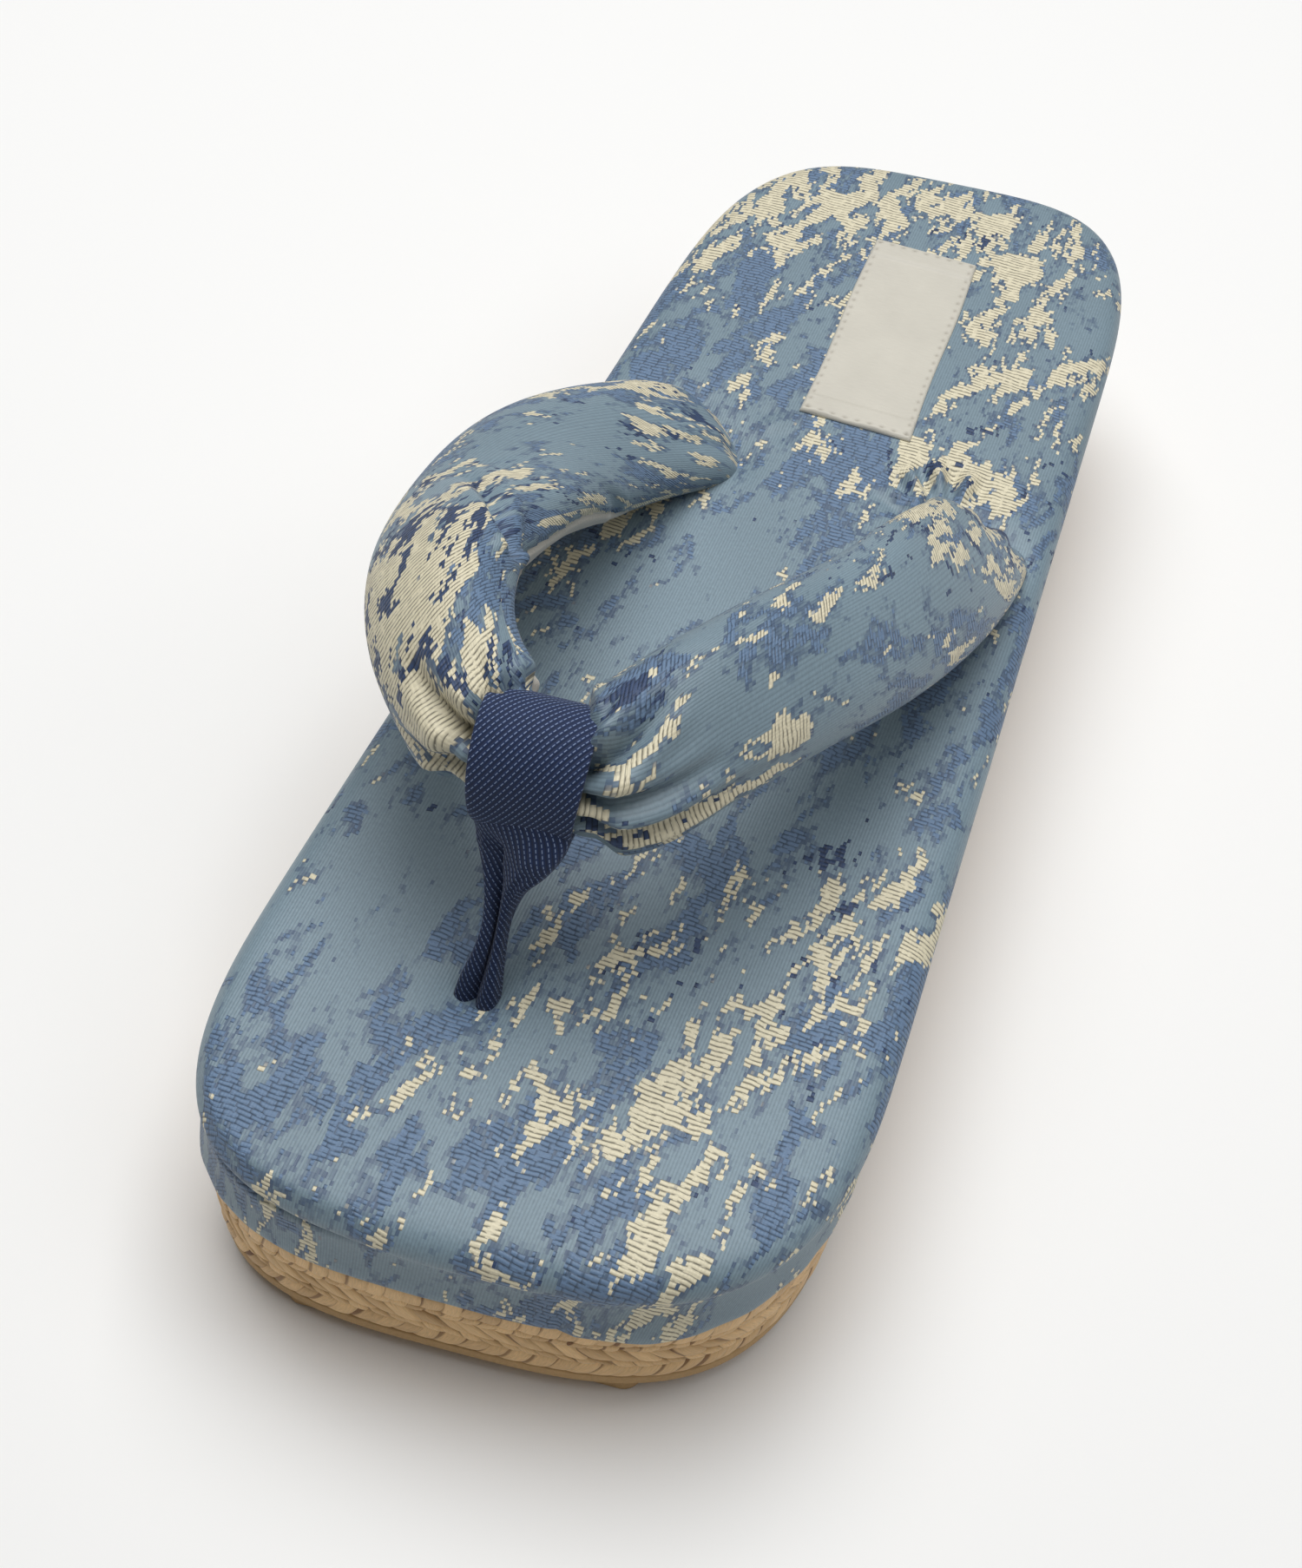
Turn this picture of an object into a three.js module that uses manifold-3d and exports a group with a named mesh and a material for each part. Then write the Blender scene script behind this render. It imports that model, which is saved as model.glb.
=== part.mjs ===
// A left geta-style thong sandal: a padded brocade deck on a plaited straw base,
// with a padded V strap held at the front by a twill toe loop.
// Millimetres, +Z up, toe towards -Y, wearer's outer (little toe) side towards +X.
// The tables below are measured from the middle of the deck. The whole sandal is then moved so
// that the origin is on the floor, under the middle of its box.

import * as THREE from 'three';
import { mergeVertices } from 'three/addons/utils/BufferGeometryUtils.js';
import Module from 'manifold-3d';

const wasm = await Module();
wasm.setup();

// Driving dimensions

const LENGTH = 254;              // toe to heel along the middle of the deck
const TOE_HALF_WIDTH = 50;       // the sides' straight lines, carried on to the toe's end
const HEEL_HALF_WIDTH = 41;      // and to the heel's end
const TOE_ROUND = { depth: 52, power: 3.2 };
const HEEL_ROUND = { depth: 60, power: 3.7 };
const END_LEAN = 0.12;           // both ends run this much further back towards the outer side

const TREAD_THICK = 3.5;
const SHEET_THICK = 2.5;
const TOE_HEIGHT = 39;           // deck's top above the floor at the toe's end
const HEEL_HEIGHT = 48;          // and at the heel's end
const DECK_THICK_TOE = 16.5;
const DECK_THICK_HEEL = 19.5;
const GAP = 0.3;                 // left between curved or tilted pieces that meet

const RING_POINTS = 80;          // around the deck and the base
const BRAID_ROWS = 3;            // plaited rows on the base's side
const BRAID_BULGE = 0.8;
const BASE_INSET_TOP = 2;
const BASE_INSET_BOTTOM = 2.6;
const SHEET_INSET = 2.4;

const TREADS = [
  { name: 'forefoot_tread', halfWidth: 27, front: -122, back: -48 },
  { name: 'heel_tread', halfWidth: 25, front: 42, back: 112 },
];
const TREAD_CORNER = 2.5;

const LABEL = { x: 2.4, y: 73, width: 20.5, length: 53, thick: 0.6, turn: 1.7 };

// The deck's edge, from its flat top down its side: how far in from the outline, and how far
// below the top (drop) or above the underside (rise).
const DECK_EDGE = [
  { inset: 7, drop: 0 },
  { inset: 3.8, drop: 0.5 },
  { inset: 1.7, drop: 1.6 },
  { inset: 0.5, drop: 3.4 },
  { inset: 0, drop: 6.2 },
  { inset: 0.3, rise: 4 },
  { inset: 0.9, rise: 1.2 },
  { inset: 2, rise: 0 },
];

// The strap from its inner end, over the toe loop's neck, to its outer end. Each row is one
// section: its centre (rise is above the deck's top), its breadth and thickness, and how many
// degrees its broad face leans outward from facing up.
const STRAP = [
  { x: -18, y: 37.5, rise: -7, breadth: 19, thick: 7, lean: -4 },
  { x: -22.5, y: 32, rise: 1, breadth: 23.5, thick: 8.5, lean: -10 },
  { x: -29.5, y: 19.5, rise: 8, breadth: 25.5, thick: 11, lean: -14 },
  { x: -36, y: 2, rise: 16, breadth: 27, thick: 13.5, lean: -8 },
  { x: -39, y: -18.5, rise: 24.5, breadth: 26.5, thick: 14.5, lean: 12 },
  { x: -38, y: -40, rise: 31.5, breadth: 25.5, thick: 15.5, lean: 34 },
  { x: -31, y: -57, rise: 34.5, breadth: 23.5, thick: 15.5, lean: 46 },
  { x: -21, y: -67.5, rise: 34.5, breadth: 22, thick: 16, lean: 56 },
  { x: -11, y: -71.2, rise: 33, breadth: 18, thick: 15, lean: 60 },
  { x: -0.8, y: -68.5, rise: 34, breadth: 23, thick: 16, lean: 52 },
  { x: 7.5, y: -57.5, rise: 35.5, breadth: 24, thick: 14.5, lean: 46 },
  { x: 16, y: -40, rise: 32, breadth: 23.8, thick: 13.5, lean: 42 },
  { x: 24, y: -17.5, rise: 23, breadth: 25, thick: 13.5, lean: 39 },
  { x: 29, y: 5, rise: 13.5, breadth: 24.5, thick: 12, lean: 36 },
  { x: 31, y: 19, rise: 6.5, breadth: 22.5, thick: 10.5, lean: 30 },
  { x: 30.5, y: 27.5, rise: 0.5, breadth: 21.5, thick: 8.5, lean: 24 },
  { x: 28.5, y: 33, rise: -7, breadth: 19, thick: 7, lean: 18 },
];
const STRAP_POWER = 2.3;         // 2 is an oval, more is squarer
const STRAP_SIDES = 20;
const STRAP_STEPS = 64;

// The toe loop: a band round the strap's neck, which narrows below into a folded post.
const LOOP = { x: -11, y: -71.2, rise: 33, tilt: -20, yaw: 6, halfDepth: 6.8, halfHeight: 8.6 };
const BAND_THICK = 1.8;
const BAND_HALF_WIDTH_TOP = 8.2;
const BAND_HALF_WIDTH_FOOT = 6.8;
const BAND_SIDES = 40;
const POST = [
  { x: -10.3, y: -76.4, rise: 31.5, width: 13, depth: 5 },
  { x: -10.3, y: -77.9, rise: 27.5, width: 14.4, depth: 5.2 },
  { x: -10.6, y: -79, rise: 23, width: 11.6, depth: 5.2 },
  { x: -11.1, y: -80.3, rise: 17.5, width: 6, depth: 4.8 },
  { x: -11.5, y: -81.9, rise: 12, width: 3.6, depth: 4.4 },
  { x: -11.8, y: -84.1, rise: 6.5, width: 4.2, depth: 4.4 },
  { x: -12.2, y: -86.8, rise: 0, width: 6.4, depth: 4.6 },
  { x: -12.4, y: -88.8, rise: -6, width: 6.6, depth: 4.6 },
];
const POST_POWER = 3;
const POST_SIDES = 14;
const POST_STEPS = 21;

// Heights that follow from these

const SHEET_BOTTOM = TREAD_THICK;
const BASE_BOTTOM = SHEET_BOTTOM + SHEET_THICK;

function alongLength(y, atToe, atHeel) {
  return THREE.MathUtils.mapLinear(y, -LENGTH / 2, LENGTH / 2, atToe, atHeel);
}

function deckTop(y) {
  return alongLength(y, TOE_HEIGHT, HEEL_HEIGHT);
}

function deckUnderside(y) {
  return deckTop(y) - alongLength(y, DECK_THICK_TOE, DECK_THICK_HEEL);
}

// The deck's outline: straight sides that close in towards the heel, with rounded ends.
// A quarter of an end is a superellipse, and END_LEAN shears the whole outline.

function sideHalfWidth(y) {
  return alongLength(y, TOE_HALF_WIDTH, HEEL_HALF_WIDTH);
}

function endQuarter(round, steps) {
  const points = [];
  for (let i = 0; i <= steps; i += 1) {
    const angle = (i / steps) * Math.PI / 2;
    const across = Math.sin(angle) ** (2 / round.power);
    const along = round.depth * (1 - Math.cos(angle) ** (2 / round.power));
    points.push({ across, along });
  }
  return points;
}

function outlineCurve() {
  const toe = endQuarter(TOE_ROUND, 60);
  const heel = endQuarter(HEEL_ROUND, 60).reverse();
  const outer = [];
  for (const { across, along } of toe) {
    const y = -LENGTH / 2 + along;
    outer.push(new THREE.Vector2(across * sideHalfWidth(y), y));
  }
  for (const { across, along } of heel) {
    const y = LENGTH / 2 - along;
    outer.push(new THREE.Vector2(across * sideHalfWidth(y), y));
  }
  const inner = outer.slice(1, -1).reverse().map((p) => new THREE.Vector2(-p.x, p.y));
  const round = [...outer, ...inner];
  round.forEach((p) => { p.y += END_LEAN * p.x; });
  return evenly(round, RING_POINTS);
}

// Points spaced evenly along a closed line of points.
function evenly(line, count) {
  const closed = [...line, line[0]];
  const reach = [0];
  for (let i = 1; i < closed.length; i += 1) {
    reach.push(reach[i - 1] + closed[i].distanceTo(closed[i - 1]));
  }
  const total = reach[reach.length - 1];
  const points = [];
  let at = 0;
  for (let i = 0; i < count; i += 1) {
    const wanted = (i / count) * total;
    while (reach[at + 1] < wanted) {
      at += 1;
    }
    const part = (wanted - reach[at]) / (reach[at + 1] - reach[at]);
    points.push(closed[at].clone().lerp(closed[at + 1], part));
  }
  return points;
}

const OUTLINE = outlineCurve();

// The outline moved in by a distance, along each point's own normal.
function insetOutline(inset) {
  return OUTLINE.map((p, i) => {
    const before = OUTLINE[(i + RING_POINTS - 1) % RING_POINTS];
    const after = OUTLINE[(i + 1) % RING_POINTS];
    const inward = new THREE.Vector2(before.y - after.y, after.x - before.x).normalize();
    return p.clone().addScaledVector(inward, inset);
  });
}

// A closed solid from rings of points, each ring counter-clockwise seen from the last one's
// side, with a fan to the middle of the first and last ring.
function loft(rings) {
  const count = rings[0].length;
  const positions = [];
  rings.flat().forEach((p) => positions.push(p.x, p.y, p.z));
  const faces = [];
  for (let r = 0; r + 1 < rings.length; r += 1) {
    for (let i = 0; i < count; i += 1) {
      const a = r * count + i;
      const b = r * count + (i + 1) % count;
      faces.push(a, b, b + count, a, b + count, a + count);
    }
  }
  const last = (rings.length - 1) * count;
  for (const [start, first] of [[0, true], [last, false]]) {
    const ring = first ? rings[0] : rings[rings.length - 1];
    const middle = ring.reduce((sum, p) => sum.add(p), new THREE.Vector3()).divideScalar(count);
    const hub = positions.length / 3;
    positions.push(middle.x, middle.y, middle.z);
    for (let i = 0; i < count; i += 1) {
      const a = start + i;
      const b = start + (i + 1) % count;
      faces.push(...(first ? [hub, b, a] : [hub, a, b]));
    }
  }
  return geometryFrom(positions, faces);
}

function geometryFrom(positions, faces) {
  const geometry = new THREE.BufferGeometry();
  geometry.setAttribute('position', new THREE.Float32BufferAttribute(positions, 3));
  geometry.setIndex(faces);
  return geometry;
}

// Solids for cutting and joining

function solid(geometry) {
  const bare = geometry.clone();
  bare.deleteAttribute('normal');
  bare.deleteAttribute('uv');
  const merged = mergeVertices(bare, 1e-5);
  return new wasm.Manifold(new wasm.Mesh({
    numProp: 3,
    vertProperties: new Float32Array(merged.attributes.position.array),
    triVerts: new Uint32Array(merged.index.array),
  }));
}

function geometryOf(body) {
  const mesh = body.getMesh();
  const positions = [];
  for (let i = 0; i < mesh.vertProperties.length; i += mesh.numProp) {
    positions.push(...mesh.vertProperties.slice(i, i + 3));
  }
  return geometryFrom(positions, Array.from(mesh.triVerts));
}

// A tube with a section that changes along it. rows give the centres, two sizes and a lean;
// grow makes the section larger all round, and the ends longer by as much.
function sweep(rows, sizes, steps, sides, power, grow) {
  const centres = rows.map((row) => new THREE.Vector3(row.x, row.y, deckTop(row.y) + row.rise));
  const path = new THREE.CatmullRomCurve3(centres, false, 'centripetal');
  const shape = new THREE.CatmullRomCurve3(
    rows.map((row) => new THREE.Vector3(row[sizes[0]], row[sizes[1]], row.lean ?? 0)),
    false, 'catmullrom', 0.5,
  );
  const up = new THREE.Vector3(0, 0, 1);
  const rings = [];
  for (let s = 0; s <= steps; s += 1) {
    const t = s / steps;
    const centre = path.getPoint(t);
    const ahead = path.getTangent(t);
    if (s === 0) {
      centre.addScaledVector(ahead, -grow);
    }
    if (s === steps) {
      centre.addScaledVector(ahead, grow);
    }
    const across = shape.getPoint(t);
    const lean = THREE.MathUtils.degToRad(across.z);
    const raised = up.clone().addScaledVector(ahead, -up.dot(ahead)).normalize();
    const outward = ahead.clone().cross(raised);
    const facing = raised.clone().multiplyScalar(Math.cos(lean)).addScaledVector(outward, Math.sin(lean));
    const broad = facing.clone().cross(ahead);
    const ring = [];
    for (let i = 0; i < sides; i += 1) {
      const angle = (i / sides) * 2 * Math.PI;
      const c = Math.cos(angle);
      const d = Math.sin(angle);
      const u = Math.sign(c) * Math.abs(c) ** (2 / power) * (across.x / 2 + grow);
      const v = Math.sign(d) * Math.abs(d) ** (2 / power) * (across.y / 2 + grow);
      ring.push(centre.clone().addScaledVector(broad, u).addScaledVector(facing, v));
    }
    rings.push(ring);
  }
  return loft(rings);
}

function strapForm(grow) {
  return solid(sweep(STRAP, ['breadth', 'thick'], STRAP_STEPS, STRAP_SIDES, STRAP_POWER, grow));
}

function postForm(grow) {
  return solid(sweep(POST, ['width', 'depth'], POST_STEPS, POST_SIDES, POST_POWER, grow));
}

// A band that goes round the neck. Its axis runs across the sandal, its section is a rectangle
// from the inner oval out to the outer one, and it is narrower at its foot.
function bandForm(clear, outward, spare) {
  const turn = new THREE.Euler(
    THREE.MathUtils.degToRad(LOOP.tilt), 0, THREE.MathUtils.degToRad(LOOP.yaw), 'ZYX',
  );
  const centre = new THREE.Vector3(LOOP.x, LOOP.y, deckTop(LOOP.y) + LOOP.rise);
  const positions = [];
  const faces = [];
  for (let i = 0; i < BAND_SIDES; i += 1) {
    const angle = (i / BAND_SIDES) * 2 * Math.PI;
    const low = 0.5 - 0.5 * Math.sin(angle);
    const half = THREE.MathUtils.lerp(BAND_HALF_WIDTH_TOP, BAND_HALF_WIDTH_FOOT, low * low) + spare;
    for (const [side, beyond] of [[-1, clear], [1, clear], [1, outward], [-1, outward]]) {
      const p = new THREE.Vector3(
        side * half,
        Math.cos(angle) * (LOOP.halfDepth + beyond),
        Math.sin(angle) * (LOOP.halfHeight + beyond),
      );
      p.applyEuler(turn).add(centre);
      positions.push(p.x, p.y, p.z);
    }
    const here = 4 * i;
    const next = 4 * ((i + 1) % BAND_SIDES);
    for (let k = 0; k < 4; k += 1) {
      const a = here + k;
      const b = here + (k + 1) % 4;
      const c = next + (k + 1) % 4;
      const d = next + k;
      faces.push(a, b, c, a, c, d);
    }
  }
  return solid(geometryFrom(positions, faces));
}

// The pieces

function ringAt(inset, height) {
  return insetOutline(inset).map((p) => new THREE.Vector3(p.x, p.y, height(p.y)));
}

function makeDeck() {
  const rings = [...DECK_EDGE].reverse().map((row) => ringAt(row.inset, (y) => (
    row.drop === undefined ? deckUnderside(y) + row.rise : deckTop(y) - row.drop
  )));
  const block = solid(loft(rings));
  return geometryOf(block.subtract(strapForm(GAP)).subtract(postForm(GAP)));
}

function makeStrawBase() {
  const perRow = 4;
  const levels = BRAID_ROWS * perRow;
  const rings = [];
  for (let i = 0; i <= levels; i += 1) {
    const part = i / levels;
    const bulge = BRAID_BULGE * Math.abs(Math.sin(part * BRAID_ROWS * Math.PI));
    const inset = THREE.MathUtils.lerp(BASE_INSET_BOTTOM, BASE_INSET_TOP, part) - bulge;
    rings.push(ringAt(inset, (y) => THREE.MathUtils.lerp(BASE_BOTTOM, deckUnderside(y) - GAP, part)));
  }
  return loft(rings);
}

function makeSheet() {
  return loft([ringAt(SHEET_INSET, () => SHEET_BOTTOM), ringAt(SHEET_INSET, () => BASE_BOTTOM)]);
}

function makeTread({ halfWidth, front, back }) {
  const shape = new THREE.Shape();
  const at = (x, y) => [x, y + END_LEAN * x];
  shape.moveTo(...at(-halfWidth + TREAD_CORNER, front));
  shape.lineTo(...at(halfWidth - TREAD_CORNER, front));
  shape.quadraticCurveTo(...at(halfWidth, front), ...at(halfWidth, front + TREAD_CORNER));
  shape.lineTo(...at(halfWidth, back - TREAD_CORNER));
  shape.quadraticCurveTo(...at(halfWidth, back), ...at(halfWidth - TREAD_CORNER, back));
  shape.lineTo(...at(-halfWidth + TREAD_CORNER, back));
  shape.quadraticCurveTo(...at(-halfWidth, back), ...at(-halfWidth, back - TREAD_CORNER));
  shape.lineTo(...at(-halfWidth, front + TREAD_CORNER));
  shape.quadraticCurveTo(...at(-halfWidth, front), ...at(-halfWidth + TREAD_CORNER, front));
  return new THREE.ExtrudeGeometry(shape, { depth: TREAD_THICK, bevelEnabled: false, curveSegments: 4 });
}

// Inside the band's width the strap is squeezed to the neck that the band leaves it.
function makeStrap() {
  const far = 14;
  return geometryOf(strapForm(0).subtract(bandForm(-GAP, far, GAP)));
}

function makeToeLoop() {
  const neck = bandForm(0, BAND_THICK, 0);
  const post = postForm(0).subtract(strapForm(GAP));
  return geometryOf(neck.add(post));
}

function makeLabel() {
  return new THREE.BoxGeometry(LABEL.width, LABEL.length, LABEL.thick);
}

// Materials, one for each piece

function finish(color, roughness) {
  return new THREE.MeshStandardMaterial({ color, roughness, metalness: 0 });
}

const sandal = new THREE.Group();

function addPiece(name, geometry, material) {
  const mesh = new THREE.Mesh(geometry, material);
  mesh.name = name;
  sandal.add(mesh);
  return mesh;
}

TREADS.forEach((tread) => addPiece(tread.name, makeTread(tread), finish('#c3a57c', 0.8)));
addPiece('outsole', makeSheet(), finish('#b9986c', 0.8));
addPiece('straw_base', makeStrawBase(), finish('#d2b384', 0.75));
addPiece('deck', makeDeck(), finish('#8398ab', 0.6));
addPiece('strap', makeStrap(), finish('#94a6b4', 0.6));
addPiece('toe_loop', makeToeLoop(), finish('#2f4068', 0.85));

const label = addPiece('heel_label', makeLabel(), finish('#e4e0d6', 0.7));
const labelLift = LABEL.thick / 2 + GAP;
label.position.set(LABEL.x, LABEL.y, deckTop(LABEL.y) + labelLift);
label.rotation.set(Math.atan2(HEEL_HEIGHT - TOE_HEIGHT, LENGTH), 0, THREE.MathUtils.degToRad(LABEL.turn));

const middle = new THREE.Box3().setFromObject(sandal).getCenter(new THREE.Vector3());
sandal.position.set(-middle.x, -middle.y, 0);

export default sandal;
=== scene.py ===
"""A left thong sandal dressed for rendering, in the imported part's own frame.

A padded brocade deck and strap, a twill toe loop, a plaited straw base, a rubber sole and a bare
satin label. The tables are in millimetres from the middle of the deck, as in the part's source.
"""

import math

import bmesh
import bpy
import numpy as np
from mathutils import Matrix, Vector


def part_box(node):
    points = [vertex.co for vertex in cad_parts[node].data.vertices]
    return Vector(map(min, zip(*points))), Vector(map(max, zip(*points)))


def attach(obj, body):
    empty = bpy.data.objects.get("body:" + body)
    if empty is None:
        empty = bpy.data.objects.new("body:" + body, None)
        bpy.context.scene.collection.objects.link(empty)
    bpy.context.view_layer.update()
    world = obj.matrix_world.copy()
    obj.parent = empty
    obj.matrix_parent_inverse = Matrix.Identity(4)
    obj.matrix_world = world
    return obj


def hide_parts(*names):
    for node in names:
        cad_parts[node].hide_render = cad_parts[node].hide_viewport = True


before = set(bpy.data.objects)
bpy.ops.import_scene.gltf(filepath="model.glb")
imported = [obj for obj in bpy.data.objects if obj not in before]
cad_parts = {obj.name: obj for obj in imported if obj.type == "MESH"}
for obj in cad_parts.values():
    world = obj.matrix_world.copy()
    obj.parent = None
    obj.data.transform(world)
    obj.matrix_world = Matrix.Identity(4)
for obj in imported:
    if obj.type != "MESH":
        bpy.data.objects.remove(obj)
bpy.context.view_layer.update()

bl_info = {
    "name": "Thong sandal",
    "version": (1, 0, 0),
    "blender": (4, 5, 0),
    "location": "View3D > Sidebar > Sandal",
    "description": "Dresses the sandal's solids in brocade, twill, plaited straw and rubber",
    "category": "Object",
}

MM = 0.001
BODY = "root"
DECK_LOW, DECK_HIGH = (np.array(corner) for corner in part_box("deck"))
MIDDLE = np.array([(DECK_LOW[0] + DECK_HIGH[0]) / 2 / MM, 0.0, 0.0])

# The sandal's sizes, in millimetres

LENGTH = 254.0
TOE_HALF_WIDTH = 50.0
HEEL_HALF_WIDTH = 41.0
TOE_ROUND = {"depth": 52.0, "power": 3.2}
HEEL_ROUND = {"depth": 60.0, "power": 3.7}
END_LEAN = 0.12
TREAD_THICK = 3.5
SHEET_THICK = 2.5
TOE_HEIGHT = 39.0
HEEL_HEIGHT = 48.0
DECK_THICK_TOE = 16.5
DECK_THICK_HEEL = 19.5
GAP = 0.3
BASE_INSET_TOP = 2.0
BASE_INSET_BOTTOM = 2.6
SHEET_INSET = 2.4
SHEET_BOTTOM = TREAD_THICK
BASE_BOTTOM = SHEET_BOTTOM + SHEET_THICK

# The deck's edge from its top to its underside: how far in from the outline, and how far below
# the top (as a share of the deck's thickness). The cloth is drawn in a little under the ridge.
DECK_EDGE = np.array([
    # inset, drop, share
    (12.0, 0.0, 0.0),
    (7.0, 0.05, 0.0),
    (4.0, 0.3, 0.0),
    (2.1, 0.9, 0.0),
    (0.8, 2.0, 0.0),
    (0.15, 3.4, 0.0),
    (0.4, 4.8, 0.0),
    (1.5, 6.3, 0.0),
    (1.9, 0.0, 0.52),
    (1.5, 0.0, 0.72),
    (0.8, 0.0, 0.92),
    (1.1, 0.0, 0.985),
    (2.4, 0.0, 1.0),
])

# How many points the grids have, round and along the pieces
GRID = {
    "end_curve": 240, "deck_round": 480, "deck_top": 74, "deck_edge": 70,
    "strap_long": 460, "strap_round": 121, "crease": 25,
    "band_round": 161, "band_section": 65, "post_long": 120, "post_round": 97,
    "straw_round": 720, "strip_long": 9, "core_round": 241, "core_high": 15,
    "sheet_round": 360, "tread_round": 160, "tread_corner": 9, "sole_edge": 6,
    "label_wide": 62, "label_long": 160,
}
# Rows of the deck's edge, from its top, that carry the relief of the top
RELIEF_ROWS = 37

# Where the deck's cloth is worked, by the run along its outline from the middle of the toe: a fold
# where it laps over itself, gathers round both toe corners, and at the inner one a deep crease,
# above which the padding is set back
TOE_FOLD = {
    "run": 17.2, "height": 0.55, "lip": (-0.5, 0.35), "fades": (9.0, 26.0),
    "dent": 0.35, "dent_before": 0.7, "dent_width": 0.8,
    "foot_height": 0.5, "foot_run": 12.0, "foot_spread": 7.0,
}
TOE_GATHERS = {"run": 52.0, "spread": 22.0, "pitch": 8.5, "height": 0.1}
TOE_CREASE = {
    "run": 38.0, "spread": 30.0, "set_back": 1.3,
    "below": 16.2, "width": 1.2, "depth": 1.5,
}

WANDER = {"height": 0.14, "short": 6.1, "long": 15.3}
OUTLINE_FADE = 16.0
# Between which lengths of cloth down the deck's edge these come in or end
EDGE_ZONES = {
    "relief_ends": (6.0, 17.0), "set_back": (8.0, 12.0), "set_back_ends": (15.0, 19.0),
    "side": (12.5, 19.0), "foot": (18.0, 27.0),
}

# The dips in the deck where the strap's two ends go in
SLITS = np.array([
    # x, y, turn, half length, depth
    (-20.5, 35.0, -30.0, 11.0, 1.8),
    (30.0, 30.0, -22.0, 11.0, 2.2),
])
SLIT_HALF_WIDTH = 4.2

# Rays of small puckers on the deck beside the strap's two ends: from, to, height and width
PUCKERS = np.array([
    # x0, y0, x1, y1, height, width
    (20.5, 32.0, 10.5, 35.0, 1.8, 1.5),
    (20.5, 34.0, 13.0, 41.5, 2.4, 1.5),
    (22.5, 36.0, 18.5, 46.0, 2.1, 1.4),
    (25.5, 37.0, 26.5, 46.0, 1.5, 1.4),
    (-24.0, 38.0, -29.0, 44.0, 0.5, 1.6),
    (-11.5, 39.5, -7.0, 45.0, 0.5, 1.6),
])

# How much cream the brocade shows, from 0 to 1, and places on the deck with more of it, or less
DECK_CREAM_SHARE = 0.30
DECK_CREAM = np.array([
    # x, y, reach, more
    (14.0, -88.0, 22.0, 0.30),
    (34.0, -62.0, 20.0, 0.30),
    (26.0, -112.0, 20.0, 0.22),
    (-34.0, -92.0, 22.0, -0.22),
    (4.0, -40.0, 26.0, -0.25),
    (-4.0, 4.0, 24.0, -0.10),
    (10.0, 38.0, 14.0, 0.40),
    (30.0, 70.0, 18.0, 0.42),
    (32.0, 42.0, 12.0, 0.40),
    (-24.0, 62.0, 16.0, 0.20),
    (-20.0, 104.0, 20.0, 0.42),
    (14.0, 112.0, 16.0, 0.34),
    (26.0, 96.0, 14.0, 0.25),
])
# The same for the strap, by rows of its table and degrees round it
STRAP_CREAM_SHARE = 0.40
STRAP_CREAM = np.array([
    # row, angle, rows, degrees, more
    (6.0, 90.0, 1.3, 95.0, 0.74),
    (7.2, 100.0, 0.5, 75.0, 0.30),
    (4.6, 120.0, 0.9, 60.0, 0.20),
    (2.0, 110.0, 1.4, 50.0, 0.30),
    (9.5, 30.0, 0.8, 30.0, 0.52),
    (10.2, 84.0, 0.6, 20.0, -0.15),
    (9.6, 140.0, 1.1, 36.0, 0.50),
    (12.0, 70.0, 1.0, 40.0, 0.15),
    (14.6, 100.0, 1.0, 60.0, 0.58),
    (13.4, 150.0, 1.0, 36.0, 0.32),
])

# The strap from its inner end, over the neck, to its outer end
STRAP = np.array([
    # x, y, rise, breadth, thick, lean
    (-18.0, 37.5, -7.0, 19.0, 7.0, -4.0),
    (-22.5, 32.0, 1.0, 23.5, 8.5, -10.0),
    (-29.5, 19.5, 8.0, 25.5, 11.0, -14.0),
    (-36.0, 2.0, 16.0, 27.0, 13.5, -8.0),
    (-39.0, -18.5, 24.5, 26.5, 14.5, 12.0),
    (-38.0, -40.0, 31.5, 25.5, 15.5, 34.0),
    (-31.0, -57.0, 34.5, 23.5, 15.5, 46.0),
    (-21.0, -67.5, 34.5, 22.0, 16.0, 56.0),
    (-11.0, -71.2, 33.0, 18.0, 15.0, 60.0),
    (-0.8, -68.5, 34.0, 23.0, 16.0, 52.0),
    (7.5, -57.5, 35.5, 24.0, 14.5, 46.0),
    (16.0, -40.0, 32.0, 23.8, 13.5, 42.0),
    (24.0, -17.5, 23.0, 25.0, 13.5, 39.0),
    (29.0, 5.0, 13.5, 24.5, 12.0, 36.0),
    (31.0, 19.0, 6.5, 22.5, 10.5, 30.0),
    (30.5, 27.5, 0.5, 21.5, 8.5, 24.0),
    (28.5, 33.0, -7.0, 19.0, 7.0, 18.0),
])
STRAP_POWER = 2.3
NECK_ROW = 8
NECK_DRAWN_IN = 2.3
NECK_REACH = (0.95, 0.7)
# Slow lumps of the strap's padding: height, and two wavelengths as lengths to a radian
LUMPS = {"height": 0.28, "short": 9.5, "long": 23.0}
# How the brocade is laid on the strap: closer round it than along it, and from where in the pattern
STRAP_CLOTH = {"closer": 1.15, "start": 420.0}
# The seams between cover and lining, in degrees: past the outer edge, and short of the inner one
SEAM_OUTER = 202.0
SEAM_INNER = 22.0
SEAM_WIDTH = 4.0
SEAM_DEPTH = 0.45
# Where the inner seam bends: degrees, row and rows
SEAM_BENDS = ((-15, 3.5, 0.7), (14, 5.6, 0.9))

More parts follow.
